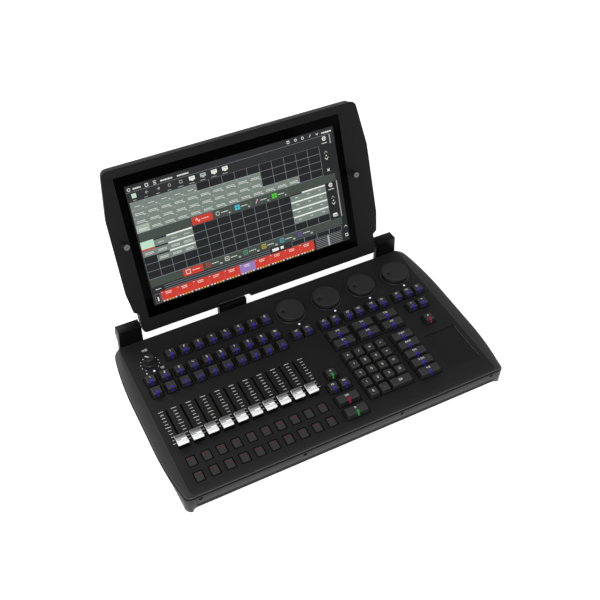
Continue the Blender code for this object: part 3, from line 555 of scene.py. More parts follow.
def make_panel_print():
    """Scales beside the faders, lamps and the knob's dots."""
    ink = Piece()
    for k in range(11):
        x = -239.87 + 22.96 * k + (2.6 if k == 0 else 0)
        for i in range(11):
            y = -144.2 - 6.06 * i
            half = 4.0 if i in (0, 5, 10) else 2.6
            ink.stroke([(x - half, y), (x + half, y)], 0.75, 0.0, INK, 0.05)
    for k in range(11):
        a = math.radians(225 - 27 * k)
        x, y = KNOB_AT[0] + 14.4 * math.cos(a), KNOB_AT[1] + 14.4 * math.sin(a)
        ink.lathe((x, y, 0), [(0.7, 0), (0.7, 0.06), (0, 0.06)], INK, 10)
    write(ink, ["ring", "bars"], KNOB_AT[0] + 1.8, KNOB_AT[1] + 29, 3.6, 0, INK, 0.75, 4.6)
    ink.lathe((-229, -67, 0), [(1.2, 0), (1.2, 0.06), (0, 0.06)], INK, 12)
    write(ink, ["1", "0"], -204, -65.5, 3.6, 0, INK, 0.6)
    ink.done("panel_print", "console", DECK)

    lamps = Piece()
    for x, y in [(x + 1.3, -78.9) for x in WHEEL_X] + [(-217.1, -66.7)]:
        lamps.lathe((x, y, 0), [(2.1, 0), (2.1, 0.12), (1.75, 0.2)], EDGE_LINE, 24)
        lamps.lathe((x, y, 0), [(1.6, 0), (1.6, 0.25), (1.2, 0.5), (0.5, 0.62), (0, 0.64)], LED_WHITE, 20)
    lamps.done("panel_lamps", "console", DECK)

    rims = Piece()
    for x in WHEEL_X:
        rims.lathe((x, WHEEL_Y, 0), [(23.9, 0), (23.9, 0.25), (23.7, 0.4), (23.3, 0.4)], EDGE_LINE, 72)
        rims.lathe((x, WHEEL_Y, 0), [(23.3, 0), (23.3, 0.42), (22.6, 0.5), (8.0, 0.5), (8.0, 0)], WHEEL_SIDE,
                   72)
    rims.slab((-247, -3.6, 0), (247, -0.3, 0.4), PANEL, 0.15, 1.5)
    rims.done("wheel_rims", "console", DECK)


def make_key_wells():
    """Dark frames let into the panel round each key."""
    wells = Piece()
    for spots in KEY_GROUPS.values():
        for x, y, wide, deep in spots:
            a, b = wide / 2 + 0.45, deep / 2 + 0.45
            surround(wells, x, y, (a, b, 0.8), (a + 0.9, b + 0.9, 1.4), (-3.0, 0.10, 0.10), GAP_BLACK)
    wells.done("key_wells", "console", DECK)


# ---------------------------------------------------------------- keys


def row(first, pitch, count):
    return [first + pitch * i for i in range(count)]


def keys(xs, ys, wide=KEY, deep=KEY):
    return [(x, y, wide, deep) for y in ys for x in xs]


COMMAND_X = row(67.0, 43.7, 3)
PAD_X, PAD_Y = row(57.65, 19.25, 4), row(-174.9, -19.25, 5)
KEY_GROUPS = {
    "function_keys": keys(COLUMN_X[2:], [-48.6]),
    "playback_select_keys": keys(COLUMN_X, [-84.1]),
    "playback_go_keys": keys(COLUMN_X, [-108.1]),
    "encoder_keys": keys([x + side * 9.7 for x in (18.1, *COMMAND_X) for side in (-1, 1)], [-98.6]),
    "page_keys": keys(row(192.9, 19.7, 3), [-98.0]),
    "arrow_keys": keys((203.0, 222.9), [-127.1]),
    "home_key": keys([212.6], [-162.3]),
    "edit_keys": keys(COMMAND_X, (-127.0, -147.0), WIDE),
    "menu_keys": keys([154.4], row(-175.9, -19.5, 5), WIDE),
    "preview_key": keys([18.1], [-193.4]),
    "step_keys": keys((8.4, 27.8), [-218.1]),
    "release_key": keys([18.1], [-245.0], WIDE),
    "go_key": keys([18.1], [-270.5], WIDE),
    "number_keys": keys(PAD_X, PAD_Y[:4]) + keys(PAD_X[:2], PAD_Y[4:]),
    "enter_key": keys([(PAD_X[2] + PAD_X[3]) / 2], PAD_Y[4:], WIDE),
}
FLAT_GROUPS = {"flash_keys_rear": -242.3, "flash_keys_front": -269.6}
LEGENDS = {
    "function_keys": [[c] for c in "12345678"],
    "playback_select_keys": [[c] for c in "123456789"] + [["1", "0"]],
    "playback_go_keys": [[]] * 10,
    "encoder_keys": [["left", "bars"], ["bars", "right"]] * 4,
    "page_keys": [["bars", "up"], ["square", "bars"], ["bars", "down"]],
    "arrow_keys": [["left"], ["right"]],
    "home_key": [["house"]],
    "edit_keys": [["ring", "bars"], ["bars", "plus"], ["square", "bars"], ["bars", "minus"],
                  ["triangle", "bars"], ["posts", "bars"]],
    "menu_keys": [["ring", "bars", "posts"], ["bars", "posts", "bars"], ["square", "bars"],
                  ["posts", "bars", "ring"], ["wave", "bars"]],
    "preview_key": [["ring"]],
    "step_keys": [["left", "bars"], ["bars", "right"]],
    "release_key": [["square", "bars"]],
    "go_key": [["triangle"]],
    "number_keys": [["left"], ["slash"], ["cross"], ["minus"], ["7"], ["8"], ["9"], ["plus"], ["4"], ["5"],
                    ["6"], ["right"], ["1"], ["2"], ["3"], ["ring"], ["0"], ["dot"]],
    "enter_key": [["bars", "left"]],
}
LED_OF = {"home_key": (LED_RED, LED_RED), "release_key": (LED_RED, LED_RED),
          "preview_key": (LED_GREEN, LED_GREEN), "go_key": (LED_GREEN, LED_GREEN)}


def keycap(piece, x, y, wide, deep, height):
    """A tapered cap with a rounded rim round a slightly sunken top."""
    side = [(0, -3.6, 0.8), (0, 0.2, 0.9), (0.25, 1.0, 1.0), (KEY_TAPER - 0.5, height - 1.6, 1.2),
            (KEY_TAPER - 0.25, height - 0.75, 1.2)]
    top = [(KEY_TAPER - 0.25, height - 0.75, 1.2), (KEY_TAPER, height - 0.3, 1.2),
           (KEY_TAPER + 0.35, height - 0.08, 1.2), (KEY_TAPER + 0.8, height, 1.2),
           (KEY_TAPER + 1.5, height - 0.06, 1.0), (KEY_TAPER + 2.2, height - 0.16, 0.8)]

    def ring(inset, z, radius):
        return rounded_rect(x, y, wide / 2 - inset, deep / 2 - inset, radius, z, 3)

    # the walls take the darker copy of the cap colour, painted shade
    piece.loft([ring(*step) for step in side], KEY_SIDE_SHADE, high=False)
    piece.loft([ring(*step) for step in top], KEYCAP, low=False)
    bmesh.ops.remove_doubles(piece.mesh, verts=piece.mesh.verts, dist=0.0005)


def led_stripe(piece, x, y, deep, height, colors):
    """The lit inlay, from the middle of the top over the front edge and down the front face."""
    front = deep / 2
    path = [(-1.7, height - 0.13, 0.8), (-2.1, height - 0.12, 1.4), (-2.7, height - 0.12, 1.75),
            (-3.4, height - 0.1, 1.85), (-front + KEY_TAPER + 1.4, height - 0.02, 1.8),
            (-front + KEY_TAPER + 0.55, height + 0.04, 1.6), (-front + KEY_TAPER - 0.02, height - 0.28, 1.35),
            (-front + KEY_TAPER - 0.35, height - 0.85, 1.2), (-front + 0.25, 1.2, 1.15)]
    rings = []
    for i, (py, pz, half) in enumerate(path):
        a, b = path[max(i - 1, 0)], path[min(i + 1, len(path) - 1)]
        out = Vector((0, b[1] - a[1], -(b[0] - a[0]))).normalized()
        out = -out if out.z < 0 or (abs(out.z) < 0.2 and out.y > 0) else out
        here = Vector((x, y + py, pz))
        rings.append([here + Vector((-half, 0, 0)) - out * 0.1, here + Vector((half, 0, 0)) - out * 0.1,
                      here + Vector((half * 0.92, 0, 0)) + out * 0.07,
                      here + Vector((-half * 0.92, 0, 0)) + out * 0.07])
    piece.loft(rings[:5], colors[1], high=False)
    piece.loft(rings[4:], colors[0], low=False)


def make_keys():
    """Raised keycaps with their lit inlays and signs, then the flat keys."""
    for name, spots in KEY_GROUPS.items():
        piece = Piece()
        pad = name in ("number_keys", "enter_key")
        height = PAD_KEY_HEIGHT if pad else KEY_HEIGHT
        for spot in spots:
            keycap(piece, *spot, height)
        for (x, y, wide, deep), legend in zip(spots, LEGENDS[name]):
            if not pad:
                led_stripe(piece, x, y, deep, height, LED_OF.get(name, (LED_BLUE, LED_BLUE_HOT)))
            tall = 3.6 if pad or name in ("function_keys", "playback_select_keys") else 2.7
            rear = 0.2 if pad else 2.9
            write(piece, legend, x, y + rear, tall, height - 0.15, INK, 0.55 if tall > 3 else 0.45,
                  3.5 if wide > KEY else None)
        piece.done(name + "_caps", name + "_body", DECK, [name], 38)
    for name, y in FLAT_GROUPS.items():
        piece = Piece()
        for x in COLUMN_X:
            piece.loft([rounded_rect(x, y, 5.65 - i, 7.5 - i, 0.9, z, 3) for i, z in
                        ((0, -3.6), (0, 0.1), (0.12, 0.4), (0.45, 0.55), (1.0, 0.6), (1.8, 0.42))], FLAT_CAP)
            piece.stroke([(x - 1.5, y + 3.6), (x - 0.4, y + 4.7), (x + 0.9, y + 4.2)], 1.2, 0.36, MARK_RED,
                         0.1)
            piece.stroke([(x + 1.5, y + 4.4), (x + 1.9, y + 3.4)], 0.8, 0.36, MARK_RED, 0.1)
        piece.done(name + "_caps", name + "_body", DECK, [name], 38)


def make_flat_frames():
    """Dark frames round the flat keys."""
    frames = Piece()
    for y in FLAT_GROUPS.values():
        for x in COLUMN_X:
            surround(frames, x, y, (6.1, 7.95, 1.0), (7.4, 9.2, 1.4), (-3.0, 0.25, 0.15), GAP_BLACK)
    frames.done("flat_key_frames", "console", DECK)


# ---------------------------------------------------------------- faders, wheels and knob


def make_fader_caps():
    """White saddles with a faint painted glow, shaded in the dip's rear half, on black skirts."""
    half = [(8.9, 7.2), (9.1, 8.3), (9.0, 9.2), (8.7, 9.9), (8.1, 10.4), (7.3, 10.55), (6.3, 10.35),
            (5.2, 9.8), (4.0, 9.1), (2.8, 8.6), (1.6, 8.3), (0.55, 8.2)]
    profile = [(-y, z) for y, z in half] + [(y, z) for y, z in reversed(half)]
    dip = {strip: CAP_SHADE for strip in (13, 14, 19, 20)}
    dip.update({strip: CAP_DEEP for strip in (15, 16, 17, 18)})
    for number, x in enumerate(COLUMN_X, 1):
        piece = Piece()
        rings = []
        for dx, inset in ((-8.0, 0.75), (-7.85, 0.3), (-7.5, 0.08), (-7.0, 0), (7.0, 0), (7.5, 0.08),
                          (7.85, 0.3), (8.0, 0.75)):
            rings.append([(x + dx, FADER_Y + y * (1 - inset / 10), z - inset * (z > 6)) for y, z in profile])
        piece.loft(rings, CAP_WHITE_GLOW, accents=dip)
        piece.slab((x - 8.5, FADER_Y - 10.5, 0.8), (x + 8.5, FADER_Y + 10.5, 6.6), CAP_SKIRT, 0.5, 1.2)
        piece.slab((x - 7.4, FADER_Y - 0.2, 8.05), (x - 0.6, FADER_Y + 0.9, 8.36), CAP_MARK)
        piece.slab((x - 0.8, FADER_Y - 2.5, -5.2), (x + 0.8, FADER_Y + 2.5, 1.6), CAP_SKIRT, 0.2)
        node = f"fader_cap_{number}"
        piece.done(node + "_saddle", f"fader_{number}", DECK, [node])


def make_wheels():
    """Discs with a finger dimple near their left edge."""
    steps = 96
    turn = [2 * math.pi * i / steps for i in range(steps)]
    for number, x in enumerate(WHEEL_X, 1):
        piece = Piece()
        at = Vector((x - 12.6, WHEEL_Y))

        def top(px, py, z):
            """Height with the finger dimple and its fine lip."""
            r = (Vector((px, py)) - at).length
            if r < 6.6:
                return z - 1.5 * (1 - (r / 6.6) ** 2) ** 0.8
            return z + 0.12 * max(0.0, 1 - (r - 6.6) / 0.8)

        def circle(radius):
            return [(x + radius * math.cos(a), WHEEL_Y + radius * math.sin(a)) for a in turn]

        rings = [[(px, py, top(px, py, 9.0)) for px, py in circle(20.9 * (k / 45) + 0.02)] for k in range(46)]
        rings += [[(px, py, z) for px, py in circle(radius)]
                  for radius, z in ((21.5, 8.9), (21.95, 8.6), (22.2, 8.2), (22.3, 7.7))]
        piece.loft(rings, WHEEL, high=False)
        piece.lathe((x, WHEEL_Y, 0),
                    [(22.3, 7.7), (22.3, 2.6), (22.0, 1.4), (21.2, 0.8), (6, 0.8), (6, -9.5)],
                    WHEEL_SIDE, steps, wave=lambda a, h: 1 - 0.004 * (2 < h < 7.6) * (math.cos(48 * a) > 0))
        bmesh.ops.remove_doubles(piece.mesh, verts=piece.mesh.verts, dist=0.001)
        node = f"encoder_wheel_{number}"
        piece.done(node + "_disc", f"wheel_{number}", DECK, [node])


def make_knob():
    piece = Piece()
    x, y = KNOB_AT
    piece.lathe((x, y, 0), [(3, -9.5), (3, 0.9), (9.6, 0.9), (10, 1.3), (10, 3.2), (9.6, 3.9), (9.0, 4.6),
                            (7.8, 14.0), (7.6, 14.9), (7.1, 15.4), (6.5, 15.5), (5.8, 15.3), (0, 15.2)], KNOB,
                96, wave=lambda a, h: 1 - 0.03 * (4.2 < h < 14.5) * (0.5 + 0.5 * math.cos(24 * a)))
    way = Vector((math.cos(math.radians(POINTER)), math.sin(math.radians(POINTER))))
    start, end = Vector((x, y)) + way * 0.4, Vector((x, y)) + way * 7.0
    piece.stroke([start, end], 1.1, 15.16, INK, 0.3)
    piece.done("grand_master_knob_cap", "knob", DECK, ["grand_master_knob"])


def make_trackpad():
    repaint(TRACKPAD, "trackpad")
    piece = Piece()
    x0, x1, y0, y1 = 186.3, 241.4, -262.0, -191.0
    half_x, half_y = (x1 - x0) / 2, (y1 - y0) / 2
    surround(piece, (x0 + x1) / 2, (y0 + y1) / 2, (half_x + 0.28, half_y + 0.28, 1.0),
             (half_x + 0.9, half_y + 0.9, 1.6), (-2.6, 0.02, 0.08), PANEL, 4)
    # a grey line along the right edge: painted highlight of the recess's lit right wall
    piece.stroke([(x1 + 0.7, y0 + 1.5), (x1 + 0.7, y1 - 1.5)], 0.5, 0.06, TRACKPAD_EDGE_HIGHLIGHT, 0.05)
    # a near-black line along the rear edge: painted shade of the recess's rear wall
    piece.stroke([(x0 + 1.5, y1 + 0.7), (x1 - 1.5, y1 + 0.7)], 0.6, 0.06, GAP_BLACK, 0.05)
    piece.done("trackpad_surround", "console", DECK)


# ---------------------------------------------------------------- lid

GLASS_W = -0.1  # face of the glass
BUMPER_U, BUMPER_V = -8.5, 147.5
BUMPER_REACH = 193.5


def make_lid():
    softened("lid_bezel", "lid_bezel_frame", "lid", BEZEL, 0.6)
    softened("lid_back", "lid_back_shell", "lid", LID_SHELL, 0.7)
    softened("touch_glass", "touch_glass_pane", "lid", GLASS, 0.25)
    repaint(SUPPLY, "lcd_panel")
    for name, side in (("bumper_left", -1), ("bumper_right", 1)):
        piece = Piece()
        u, v = BUMPER_U + side * BUMPER_REACH, BUMPER_V
        piece.lathe((u, v, 0), [(4.3, 0.3), (4.6, 0.7), (4.6, 2.0), (4.4, 2.4), (4.4, 13.6), (4.6, 14.0),
                                (4.6, 15.2), (4.35, 15.8)], RUBBER, 40)
        piece.lathe((u, v, 0), [(4.35, 15.8), (3.9, 16.05), (3.4, 16.1), (2.2, 16.0), (1.4, 15.9),
                                (0.9, 15.6), (0, 15.5)], BUMPER_TOP, 40)
        piece.done(name + "_barrel", "lid", LID, [name])


# ---------------------------------------------------------------- picture on the screen

TONES = {
    "night": "#242526", "bar": "#2c2d2f", "dark": "#202223", "line": "#7b8286", "thin": "#8a9093",
    "tile": "#76817a", "pale": "#9fae9f", "band": "#434b45", "red": "#c93a2c", "violet": "#9078b4",
    "mint": "#b9dcc1", "white": "#e4e8e2", "cyan": "#3fc1dc", "pink": "#d8a5c6", "green": "#43cf22",
    "teal": "#2fae8a", "yellow": "#e2c53c", "purple": "#7d45c8", "grey": "#a7aeaa",
}


def make_picture():
    """A made-up control screen: two grids of tiles, tab bands and a row of playback tiles."""
    picture = Piece()
    tone = {name: lit("screen_" + name, code, 1.0) for name, code in TONES.items()}
    left, top = -8.47 - 172.1, 135 + 96.8
    shuffle = random.Random(7)

    def rect(x0, y0, x1, y1, color, level=1, thick=0.02):
        z = GLASS_W + 0.015 * (level + 1)
        picture.loft([[(left + x, top - y, h) for x, y in ((x0, y0), (x1, y0), (x1, y1), (x0, y1))]
                      for h in (z - thick, z)], tone[color])

    def label(x, y, width, color="white", high=1.1, level=4):
        """Dashes that stand for a caption."""
        at = x - width / 2
        while at < x + width / 2 - 0.5:
            piece = min(shuffle.choice((1.2, 1.8, 2.6)), x + width / 2 - at)
            rect(at, y - high / 2, at + piece, y + high / 2, color, level)
            at += piece + 0.5

    def figure(name, x, y, size, color="white", width=0.6, level=4):
        z = GLASS_W + 0.015 * (level + 1) - 0.02
        for line in SIGNS[name]:
            picture.stroke([(left + x + (a - 0.5) * size, top - y + (b - 0.5) * size) for a, b in line],
                           width, z, tone[color], 0.02)

    rect(0, 0, 344.2, 193.6, "night", 0)
    # status bar and toolbar
    rect(0, 0.8, 344.2, 25.2, "bar", 1)
    rect(0, 10.4, 335.5, 10.8, "thin", 2)
    for name, x in (("ring", 5.6), ("square", 33.0), ("bars", 45.7)):
        figure(name, x, 6.4, 4.6, width=0.9)
    for x, width in ((18, 12.5), (64, 19), (90, 18), (332, 18)):
        label(x, 6.6, width, high=2.2)
    for name, x in (("square", 265), ("ring", 278), ("ring", 290), ("slash", 303), ("down", 315.5)):
        figure(name, x, 5.4, 4.0, width=0.9)
    rect(7.6, 13.4, 14.6, 20.2, "mint", 3)
    for name, x in (("left", 31), ("right", 49), ("ring", 66.5), ("square", 84.5)):
        figure(name, x, 16.6, 4.6, "grey", 0.8)
    for x, color in ((102.5, "white"), (120.3, "grey"), (138.3, "white"), (156.2, "white")):
        rect(x - 4.6, 13.2, x + 4.6, 18.8, color, 3)
        rect(x - 1.6, 18.8, x + 1.6, 20.2, color, 3)
        rect(x - 2.6, 15.0, x + 2.4, 15.8, "night", 4)
    for i in range(9):
        label(11 + 18 * i, 23.6, 8.5 if i > 3 else 5.5, "grey", 1.0)

    # tile grids
    pitch, first = 20.87, 2.2

    def grid(y, height, rows):
        rect(first - 0.3, y - 0.3, first + 15 * pitch, y + height * rows + 0.2, "line", 1)
        for r in range(rows):
            for c in range(15):
                x0, y0 = first + pitch * c, y + height * r
                rect(x0, y0, x0 + pitch - 0.65, y0 + height - 0.65, "dark", 2)

    def tile(c, y, height, color="tile", strip=None, words=1, mark=True):
        x0 = first + pitch * c
        rect(x0, y, x0 + pitch - 0.3, y + height - 0.3, color, 3)
        if strip:
            rect(x0, y, x0 + pitch - 0.3, y + 2.3, strip, 4)
        for w in range(words):
            label(x0 + pitch / 2, y + height * 0.62 + 2.2 * (w - (words - 1) / 2), 9 + 5 * (words > 1),
                  "white", 0.9, 5)
        if mark:
            rect(x0 + 0.8, y + 0.8, x0 + 2.8, y + 1.8, "grey", 5)
            rect(x0 + pitch - 4.4, y + height - 2.4, x0 + pitch - 1.4, y + height - 1.6, "white", 5)

    step = 12.15
    grid(26.0, step, 4)
    for r, count in enumerate((5, 10, 10, 13)):
        for c in range(count):
            tile(c, 26.0 + step * r, step, "pale" if (r, c) == (3, 0) else "tile", None, 1 if r == 0 else 2)
        if r == 1:
            rect(first, 26.0 + step * r, first + pitch * count, 26.0 + step * r + 0.4, "grey", 5)
    # first tab band
    rect(2.2, 75.2, 335.6, 88.2, "band", 1)
    rect(87.4, 76.0, 121.2, 88.2, "red", 2)
    label(109, 81.8, 12)
    figure("wave", 97, 81.6, 6.2, width=1.0)
    for x, shape, color in ((130, "ring", "grey"), (163, None, "cyan"), (196, "slash", "pink"),
                            (226.5, None, "green")):
        if shape:
            figure(shape, x, 81.6, 6.4, color, 1.5)
        else:
            rect(x - 4.2, 77.8, x + 4.2, 85.4, color, 3)
            rect(x - 0.4, 77.8, x + 0.4, 85.4, "band", 4)
            rect(x - 4.2, 81.2, x + 4.2, 82.0, "band", 4)
        label(x + 11.5, 81.8, 11)
        rect(x + 17.6, 84.4, x + 20.4, 87.0, "grey", 3)
        rect(x + 21.8, 76.4, x + 22.1, 87.6, "tile", 3)
    # second grid
    top2, step2 = 89.2, 12.3
    grid(top2, step2, 5)
    tile(0, top2, step2, "mint", None, 0, False)
    tile(0, top2 + step2, step2, "tile", "red", 2, False)
    for r in range(3):
        tile(1, top2 + step2 * r, step2, "tile", "dark", 1 + (r > 0), False)
        for c in (2, 3):
            tile(c, top2 + step2 * r, step2, "tile", "white", 1 + (r > 0), False)
    for r in range(4):
        for c in (12, 13, 14):
            tile(c, top2 + step2 * r, step2, "tile", "dark" if (r, c) == (0, 12) else "white", 0, False)
            label(first + pitch * (c + 0.5), top2 + step2 * r + 6.4, 5)
    # second tab band
    rect(2.2, 150.9, 335.6, 163.8, "band", 1)
    rect(55.6, 152.0, 88.2, 163.8, "red", 2)
    figure("square", 64.0, 157.4, 7.2, width=0.9)
    label(77, 157.4, 12)
    for i, color in enumerate(("red", "white", "teal", "yellow", "cyan", "purple")):
        x = 97.4 + 32.0 * i
        figure("square", x, 157.2, 7.0, color, 0.8)
        figure("posts", x, 157.2, 2.2, color, 0.5)
        label(x + 12, 157.4, 12)
        rect(x + 19.2, 159.8, x + 23.0, 162.6, "grey", 3)
    # bottom strips
    rect(2.2, 164.6, 335.6, 173.2, "bar", 1)
    for y in (166.0, 169.4, 172.8):
        rect(22, y, 202, y + 0.7, "line", 2)
    rect(3.6, 166.6, 20.6, 172.0, "dark", 2)
    label(12, 169.2, 9)
    rect(206.0, 166.6, 217.2, 171.4, "white", 3)
    rect(220.6, 166.8, 226.0, 171.2, "white", 3)
    for i in range(4):
        x = 241.5 + 22.8 * i
        rect(x - 0.5, 164.8, x + 22.4, 174.0, "line", 2)
        rect(x, 165.3, x + 21.8, 173.4, "dark", 3)
    rect(2.6, 174.6, 12.8, 192.4, "bar", 1)
    rect(4.0, 176.4, 12.2, 191.6, "line", 2)
    rect(4.6, 177.0, 11.6, 191.0, "dark", 3)
    rect(7.2, 181.4, 9.2, 188.6, "white", 4)
    for i in range(10):
        x = 13.6 + 26.55 * i
        rect(x, 174.6, x + 26.55, 190.6, "violet" if i == 5 else "red", 2)
        if i not in (5, 6):
            rect(x, 174.8, x + 0.3, 190.4, "line", 3)
        label(x + 12.5, 177.6, 10, level=4)
        label(x + 12.5, 180.2, 9, level=4)
        rect(x + 1.2, 175.8, x + 2.8, 176.8, "white", 4)
        for k, color in enumerate(("white", "white", "yellow", "yellow", "white")):
            rect(x + 1.6 + 4.9 * k, 190.0, x + 4.4 + 4.9 * k, 191.8, color, 4)
    rect(281.6, 174.8, 331.6, 192.6, "bar", 1)
    for i in range(6):
        rect(282.4, 175.8 + 3.0 * i, 331.0, 176.6 + 3.0 * i, "thin", 2)
    rect(304.6, 174.8, 307.6, 192.4, "grey", 3)
    # right column
    for x, y in ((326, 15.8), (324.8, 92.6)):
        figure("ring", x, y, 6.4, "white", 1.3)
        figure("ring", x, y, 2.6, "white", 0.8)
        label(x, y + 7.2, 10, high=1.2)
    for y in (43.6, 119.6):
        figure("up", 325.6, y - 5.2, 6.0, "grey", 0.8)
        figure("down", 325.6, y + 4.2, 6.0, "white", 0.9)
        rect(324.6, y - 1.0, 326.6, y + 0.8, "white", 4)
    figure("cross", 325.6, 67.4, 5.2, width=1.1)
    rect(321.2, 141.2, 328.6, 146.4, "white", 3)
    rect(322.6, 143.0, 329.8, 147.4, "grey", 4)
    for y0, y1 in ((10.8, 26.0), (88.0, 150.0)):
        rect(335.2, y0, 336.8, y1, "grey", 3)
    figure("up", 340.2, 169.0, 4.4, width=0.8)
    figure("square", 339.8, 184.0, 4.6, width=0.9)
    picture.done("screen_picture", "lid", LID, sharp=30)


# ---------------------------------------------------------------- rear and underside


def make_rear():
    """Contacts in the sockets, screws and vents at the rear, underneath and on the lid."""
    piece = Piece()
    for x in (38, 74, 110):
        piece.lathe((x, 0, -21), [(13.4, -0.4), (13.4, 0.5), (12.9, 0.9), (12.0, 0.9), (12.0, -0.4)], STEEL,
                    48, "Y")
        for k in range(5):
            a = math.radians(54 * k - 18)
            piece.lathe((x + 5.6 * math.cos(a), 0, -21 + 5.6 * math.sin(a)),
                        [(1.0, -0.2), (1.0, 0.9), (0.6, 1.1), (0, 1.1)], BRASS, 12, "Y")
    for x, z in ((153, -23), (167, -23), (160, -19)):
        piece.slab((x - 1, -14.5, z - 2), (x + 1, -2, z + 2), BRASS, 0.2)
    for z in (-29.4, -22.6):
        piece.slab((-23.6, -10.8, z), (-15.0, -1.5, z + 1.0), BRASS, 0.1)
    for k in range(8):
        piece.slab((-4.6 + 1.2 * k, -10.8, -22.6), (-4.1 + 1.2 * k, -3.0, -22.2), BRASS)
    piece.done("socket_contacts", "console", DECK)

    fittings = Piece()
    for x in (-244, -120, 20, 188, 244):
        fittings.lathe((x, -0.1, -8), [(2.7, 0), (2.7, 0.6), (2.2, 1.0), (1.2, 1.1), (1.0, 0.5), (0, 0.5)],
                       DARK_STEEL, 20, "Y")
    for k in range(14):
        x = -216 + 9.0 * k
        fittings.slab((x, -0.2, -32), (x + 4.6, 0.5, -14), CHASSIS, 0.25, 1.6)
    fittings.done("rear_fittings", "console", DECK)

    under = Piece()
    for x in (-236, -80, 80, 236):
        for y in (-272, -150, -14):
            if abs(x) > 200 and y != -150:
                continue
            under.lathe((x, y, -41),
                        [(3.0, 0.1), (3.0, -0.6), (2.4, -1.0), (1.2, -1.1), (1.0, -0.6), (0, -0.6)],
                        DARK_STEEL, 20)
    for k in range(16):
        under.slab((-75 + 10 * k, -200, -41.5), (-70.5 + 10 * k, -150, -40.9), CHASSIS, 0.2, 2.0)
    under.done("underside_fittings", "console", DECK)

    lid_fittings = Piece()
    for u, v in ((-200, 244), (184, 244), (-206, 60), (190, 60), (-206, 150), (190, 150), (-60, 246),
                 (60, 246)):
        lid_fittings.lathe((u, v, -17.4), [(3.0, 0.1), (3.0, -0.05), (2.4, -0.1), (1.4, -0.1), (1.2, 0.05),
                                           (0, 0.05)], DARK_STEEL, 20)
    for k in range(20):
        u = -100 + 9.5 * k
        lid_fittings.slab((u, 196, -17.6), (u + 5.0, 224, -17.2), GAP_BLACK, 0.05, 2.3)
    lid_fittings.done("lid_rear_fittings", "lid", LID)


def make_feet():
    for name, x, y in (("foot_front_left", -222, -262), ("foot_front_right", 222, -262),
                       ("foot_rear_left", -222, -26), ("foot_rear_right", 222, -26)):
        piece = Piece()
        piece.lathe((x, y, 0), [(10.2, -41.3), (11, -42.0), (10.9, -44.0), (10.5, -46.2), (9.8, -46.9),
                                (8.4, -47), (4.2, -47), (3.6, -46.4), (3.4, -44), (0, -44)], RUBBER, 40)
        piece.done(name + "_pad", "console", DECK, [name])


# ---------------------------------------------------------------- studio


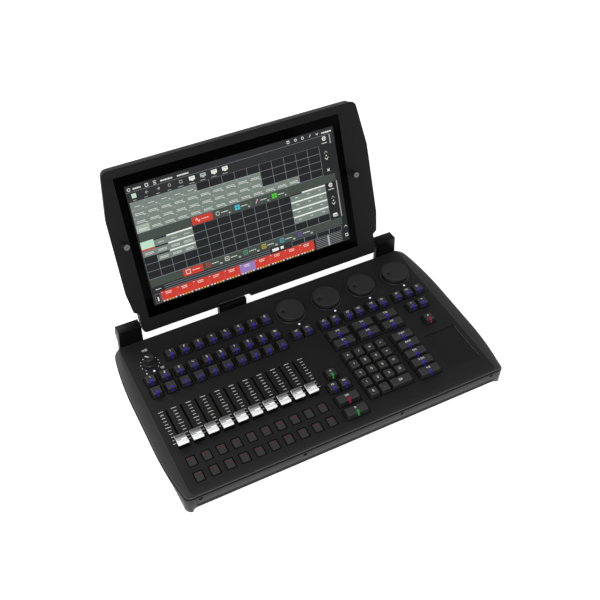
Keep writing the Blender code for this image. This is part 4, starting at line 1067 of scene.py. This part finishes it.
def make_studio():
    """A pale floor, a soft world and three soft lights."""
    floor_mesh = bmesh.new()
    bmesh.ops.create_grid(floor_mesh, x_segments=8, y_segments=8, size=12.0)
    data = bpy.data.meshes.new("floor")
    floor_mesh.to_mesh(data)
    floor_mesh.free()
    made = bpy.data.materials.new("floor_white")
    made.use_nodes = True
    shader = made.node_tree.nodes["Principled BSDF"]
    shader.inputs["Base Color"].default_value = (0.86, 0.86, 0.86, 1)
    shader.inputs["Roughness"].default_value = 0.9
    shader.inputs["Specular IOR Level"].default_value = 0.0
    shader.inputs["Emission Color"].default_value = (1, 1, 1, 1)
    shader.inputs["Emission Strength"].default_value = 0.7
    data.materials.append(made)
    floor = bpy.data.objects.new("floor", data)
    bpy.context.scene.collection.objects.link(floor)
    floor.location.z = cad_box[0].z - 0.0002

    world = bpy.data.worlds.new("studio")
    bpy.context.scene.world = world
    world.use_nodes = True
    tree = world.node_tree
    back = tree.nodes["Background"]
    place = tree.nodes.new("ShaderNodeTexCoord")
    split = tree.nodes.new("ShaderNodeSeparateXYZ")
    tree.links.new(place.outputs["Generated"], split.inputs[0])
    ramp = tree.nodes.new("ShaderNodeValToRGB")
    ramp.color_ramp.elements[0].position = 0.0
    ramp.color_ramp.elements[0].color = (1, 1, 1, 1)
    ramp.color_ramp.elements[1].position = 0.75
    ramp.color_ramp.elements[1].color = (0.22, 0.22, 0.22, 1)
    tree.links.new(split.outputs["Z"], ramp.inputs["Fac"])
    tree.links.new(ramp.outputs["Color"], back.inputs["Color"])
    back.inputs["Strength"].default_value = 0.9

    def area(name, location, target, size, power):
        light = bpy.data.lights.new(name, "AREA")
        light.shape = "RECTANGLE"
        light.size, light.size_y = size
        light.energy = power
        item = bpy.data.objects.new(name, light)
        item.location = location
        item.rotation_euler = (Vector(target) - Vector(location)).to_track_quat("-Z", "Y").to_euler()
        bpy.context.scene.collection.objects.link(item)

    area("key", (-1.3, -1.5, 1.9), (0, 0, 0.05), (1.4, 1.0), 42)
    area("fill", (1.6, -1.0, 1.3), (0, 0, 0.05), (1.6, 1.2), 6)
    area("rim", (-0.9, 1.8, 1.4), (0, 0, 0.1), (1.6, 0.8), 14)

    bpy.context.scene.view_settings.view_transform = "Standard"


def make_camera():
    """The photograph's viewing angle, round a point on the deck."""
    target, distance = DECK @ Vector((48.5, -32.04, 0)), 1.491
    azimuth, elevation, roll = math.radians(-28.04), math.radians(45.99), math.radians(1.16)
    back = Vector((math.sin(azimuth) * math.cos(elevation), -math.cos(azimuth) * math.cos(elevation),
                   math.sin(elevation)))
    data = bpy.data.cameras.new("camera")
    data.lens = 54.86
    data.sensor_width = 36.0
    data.clip_start, data.clip_end = 0.01, 50.0
    camera = bpy.data.objects.new("camera", data)
    turn = (-back).to_track_quat("-Z", "Y").to_matrix().to_4x4() @ Matrix.Rotation(roll, 4, "Z")
    camera.matrix_world = Matrix.Translation(target + back * distance) @ turn
    bpy.context.scene.collection.objects.link(camera)
    bpy.context.scene.camera = camera


repaint(PANEL, "top_panel")
repaint(CHASSIS, "base_tray", "rear_panel")
repaint(STEEL, "hinge_pin_left", "hinge_pin_right")
repaint(BOARD, "main_board")
repaint(DARK_BOARD, "fader_board", "key_board")
repaint(SUPPLY, "power_supply")
repaint(SOCKET, "power_inlet", "connector_board")
for side_name, side_sign in (("cheek_left", -1), ("cheek_right", 1)):
    make_cheek(side_name, side_sign)
make_rail()
make_panel_print()
make_key_wells()
make_keys()
make_flat_frames()
make_fader_caps()
make_wheels()
make_knob()
make_trackpad()
softened("hinge_block_left", "hinge_cover_left", "console", COVER, 0.5, 2)
softened("hinge_block_right", "hinge_cover_right", "console", COVER, 0.5, 2)
softened("cable_duct", "cable_duct_cover", "console", COVER, 0.8)
make_lid()
make_picture()
make_rear()
make_feet()
make_studio()
make_camera()
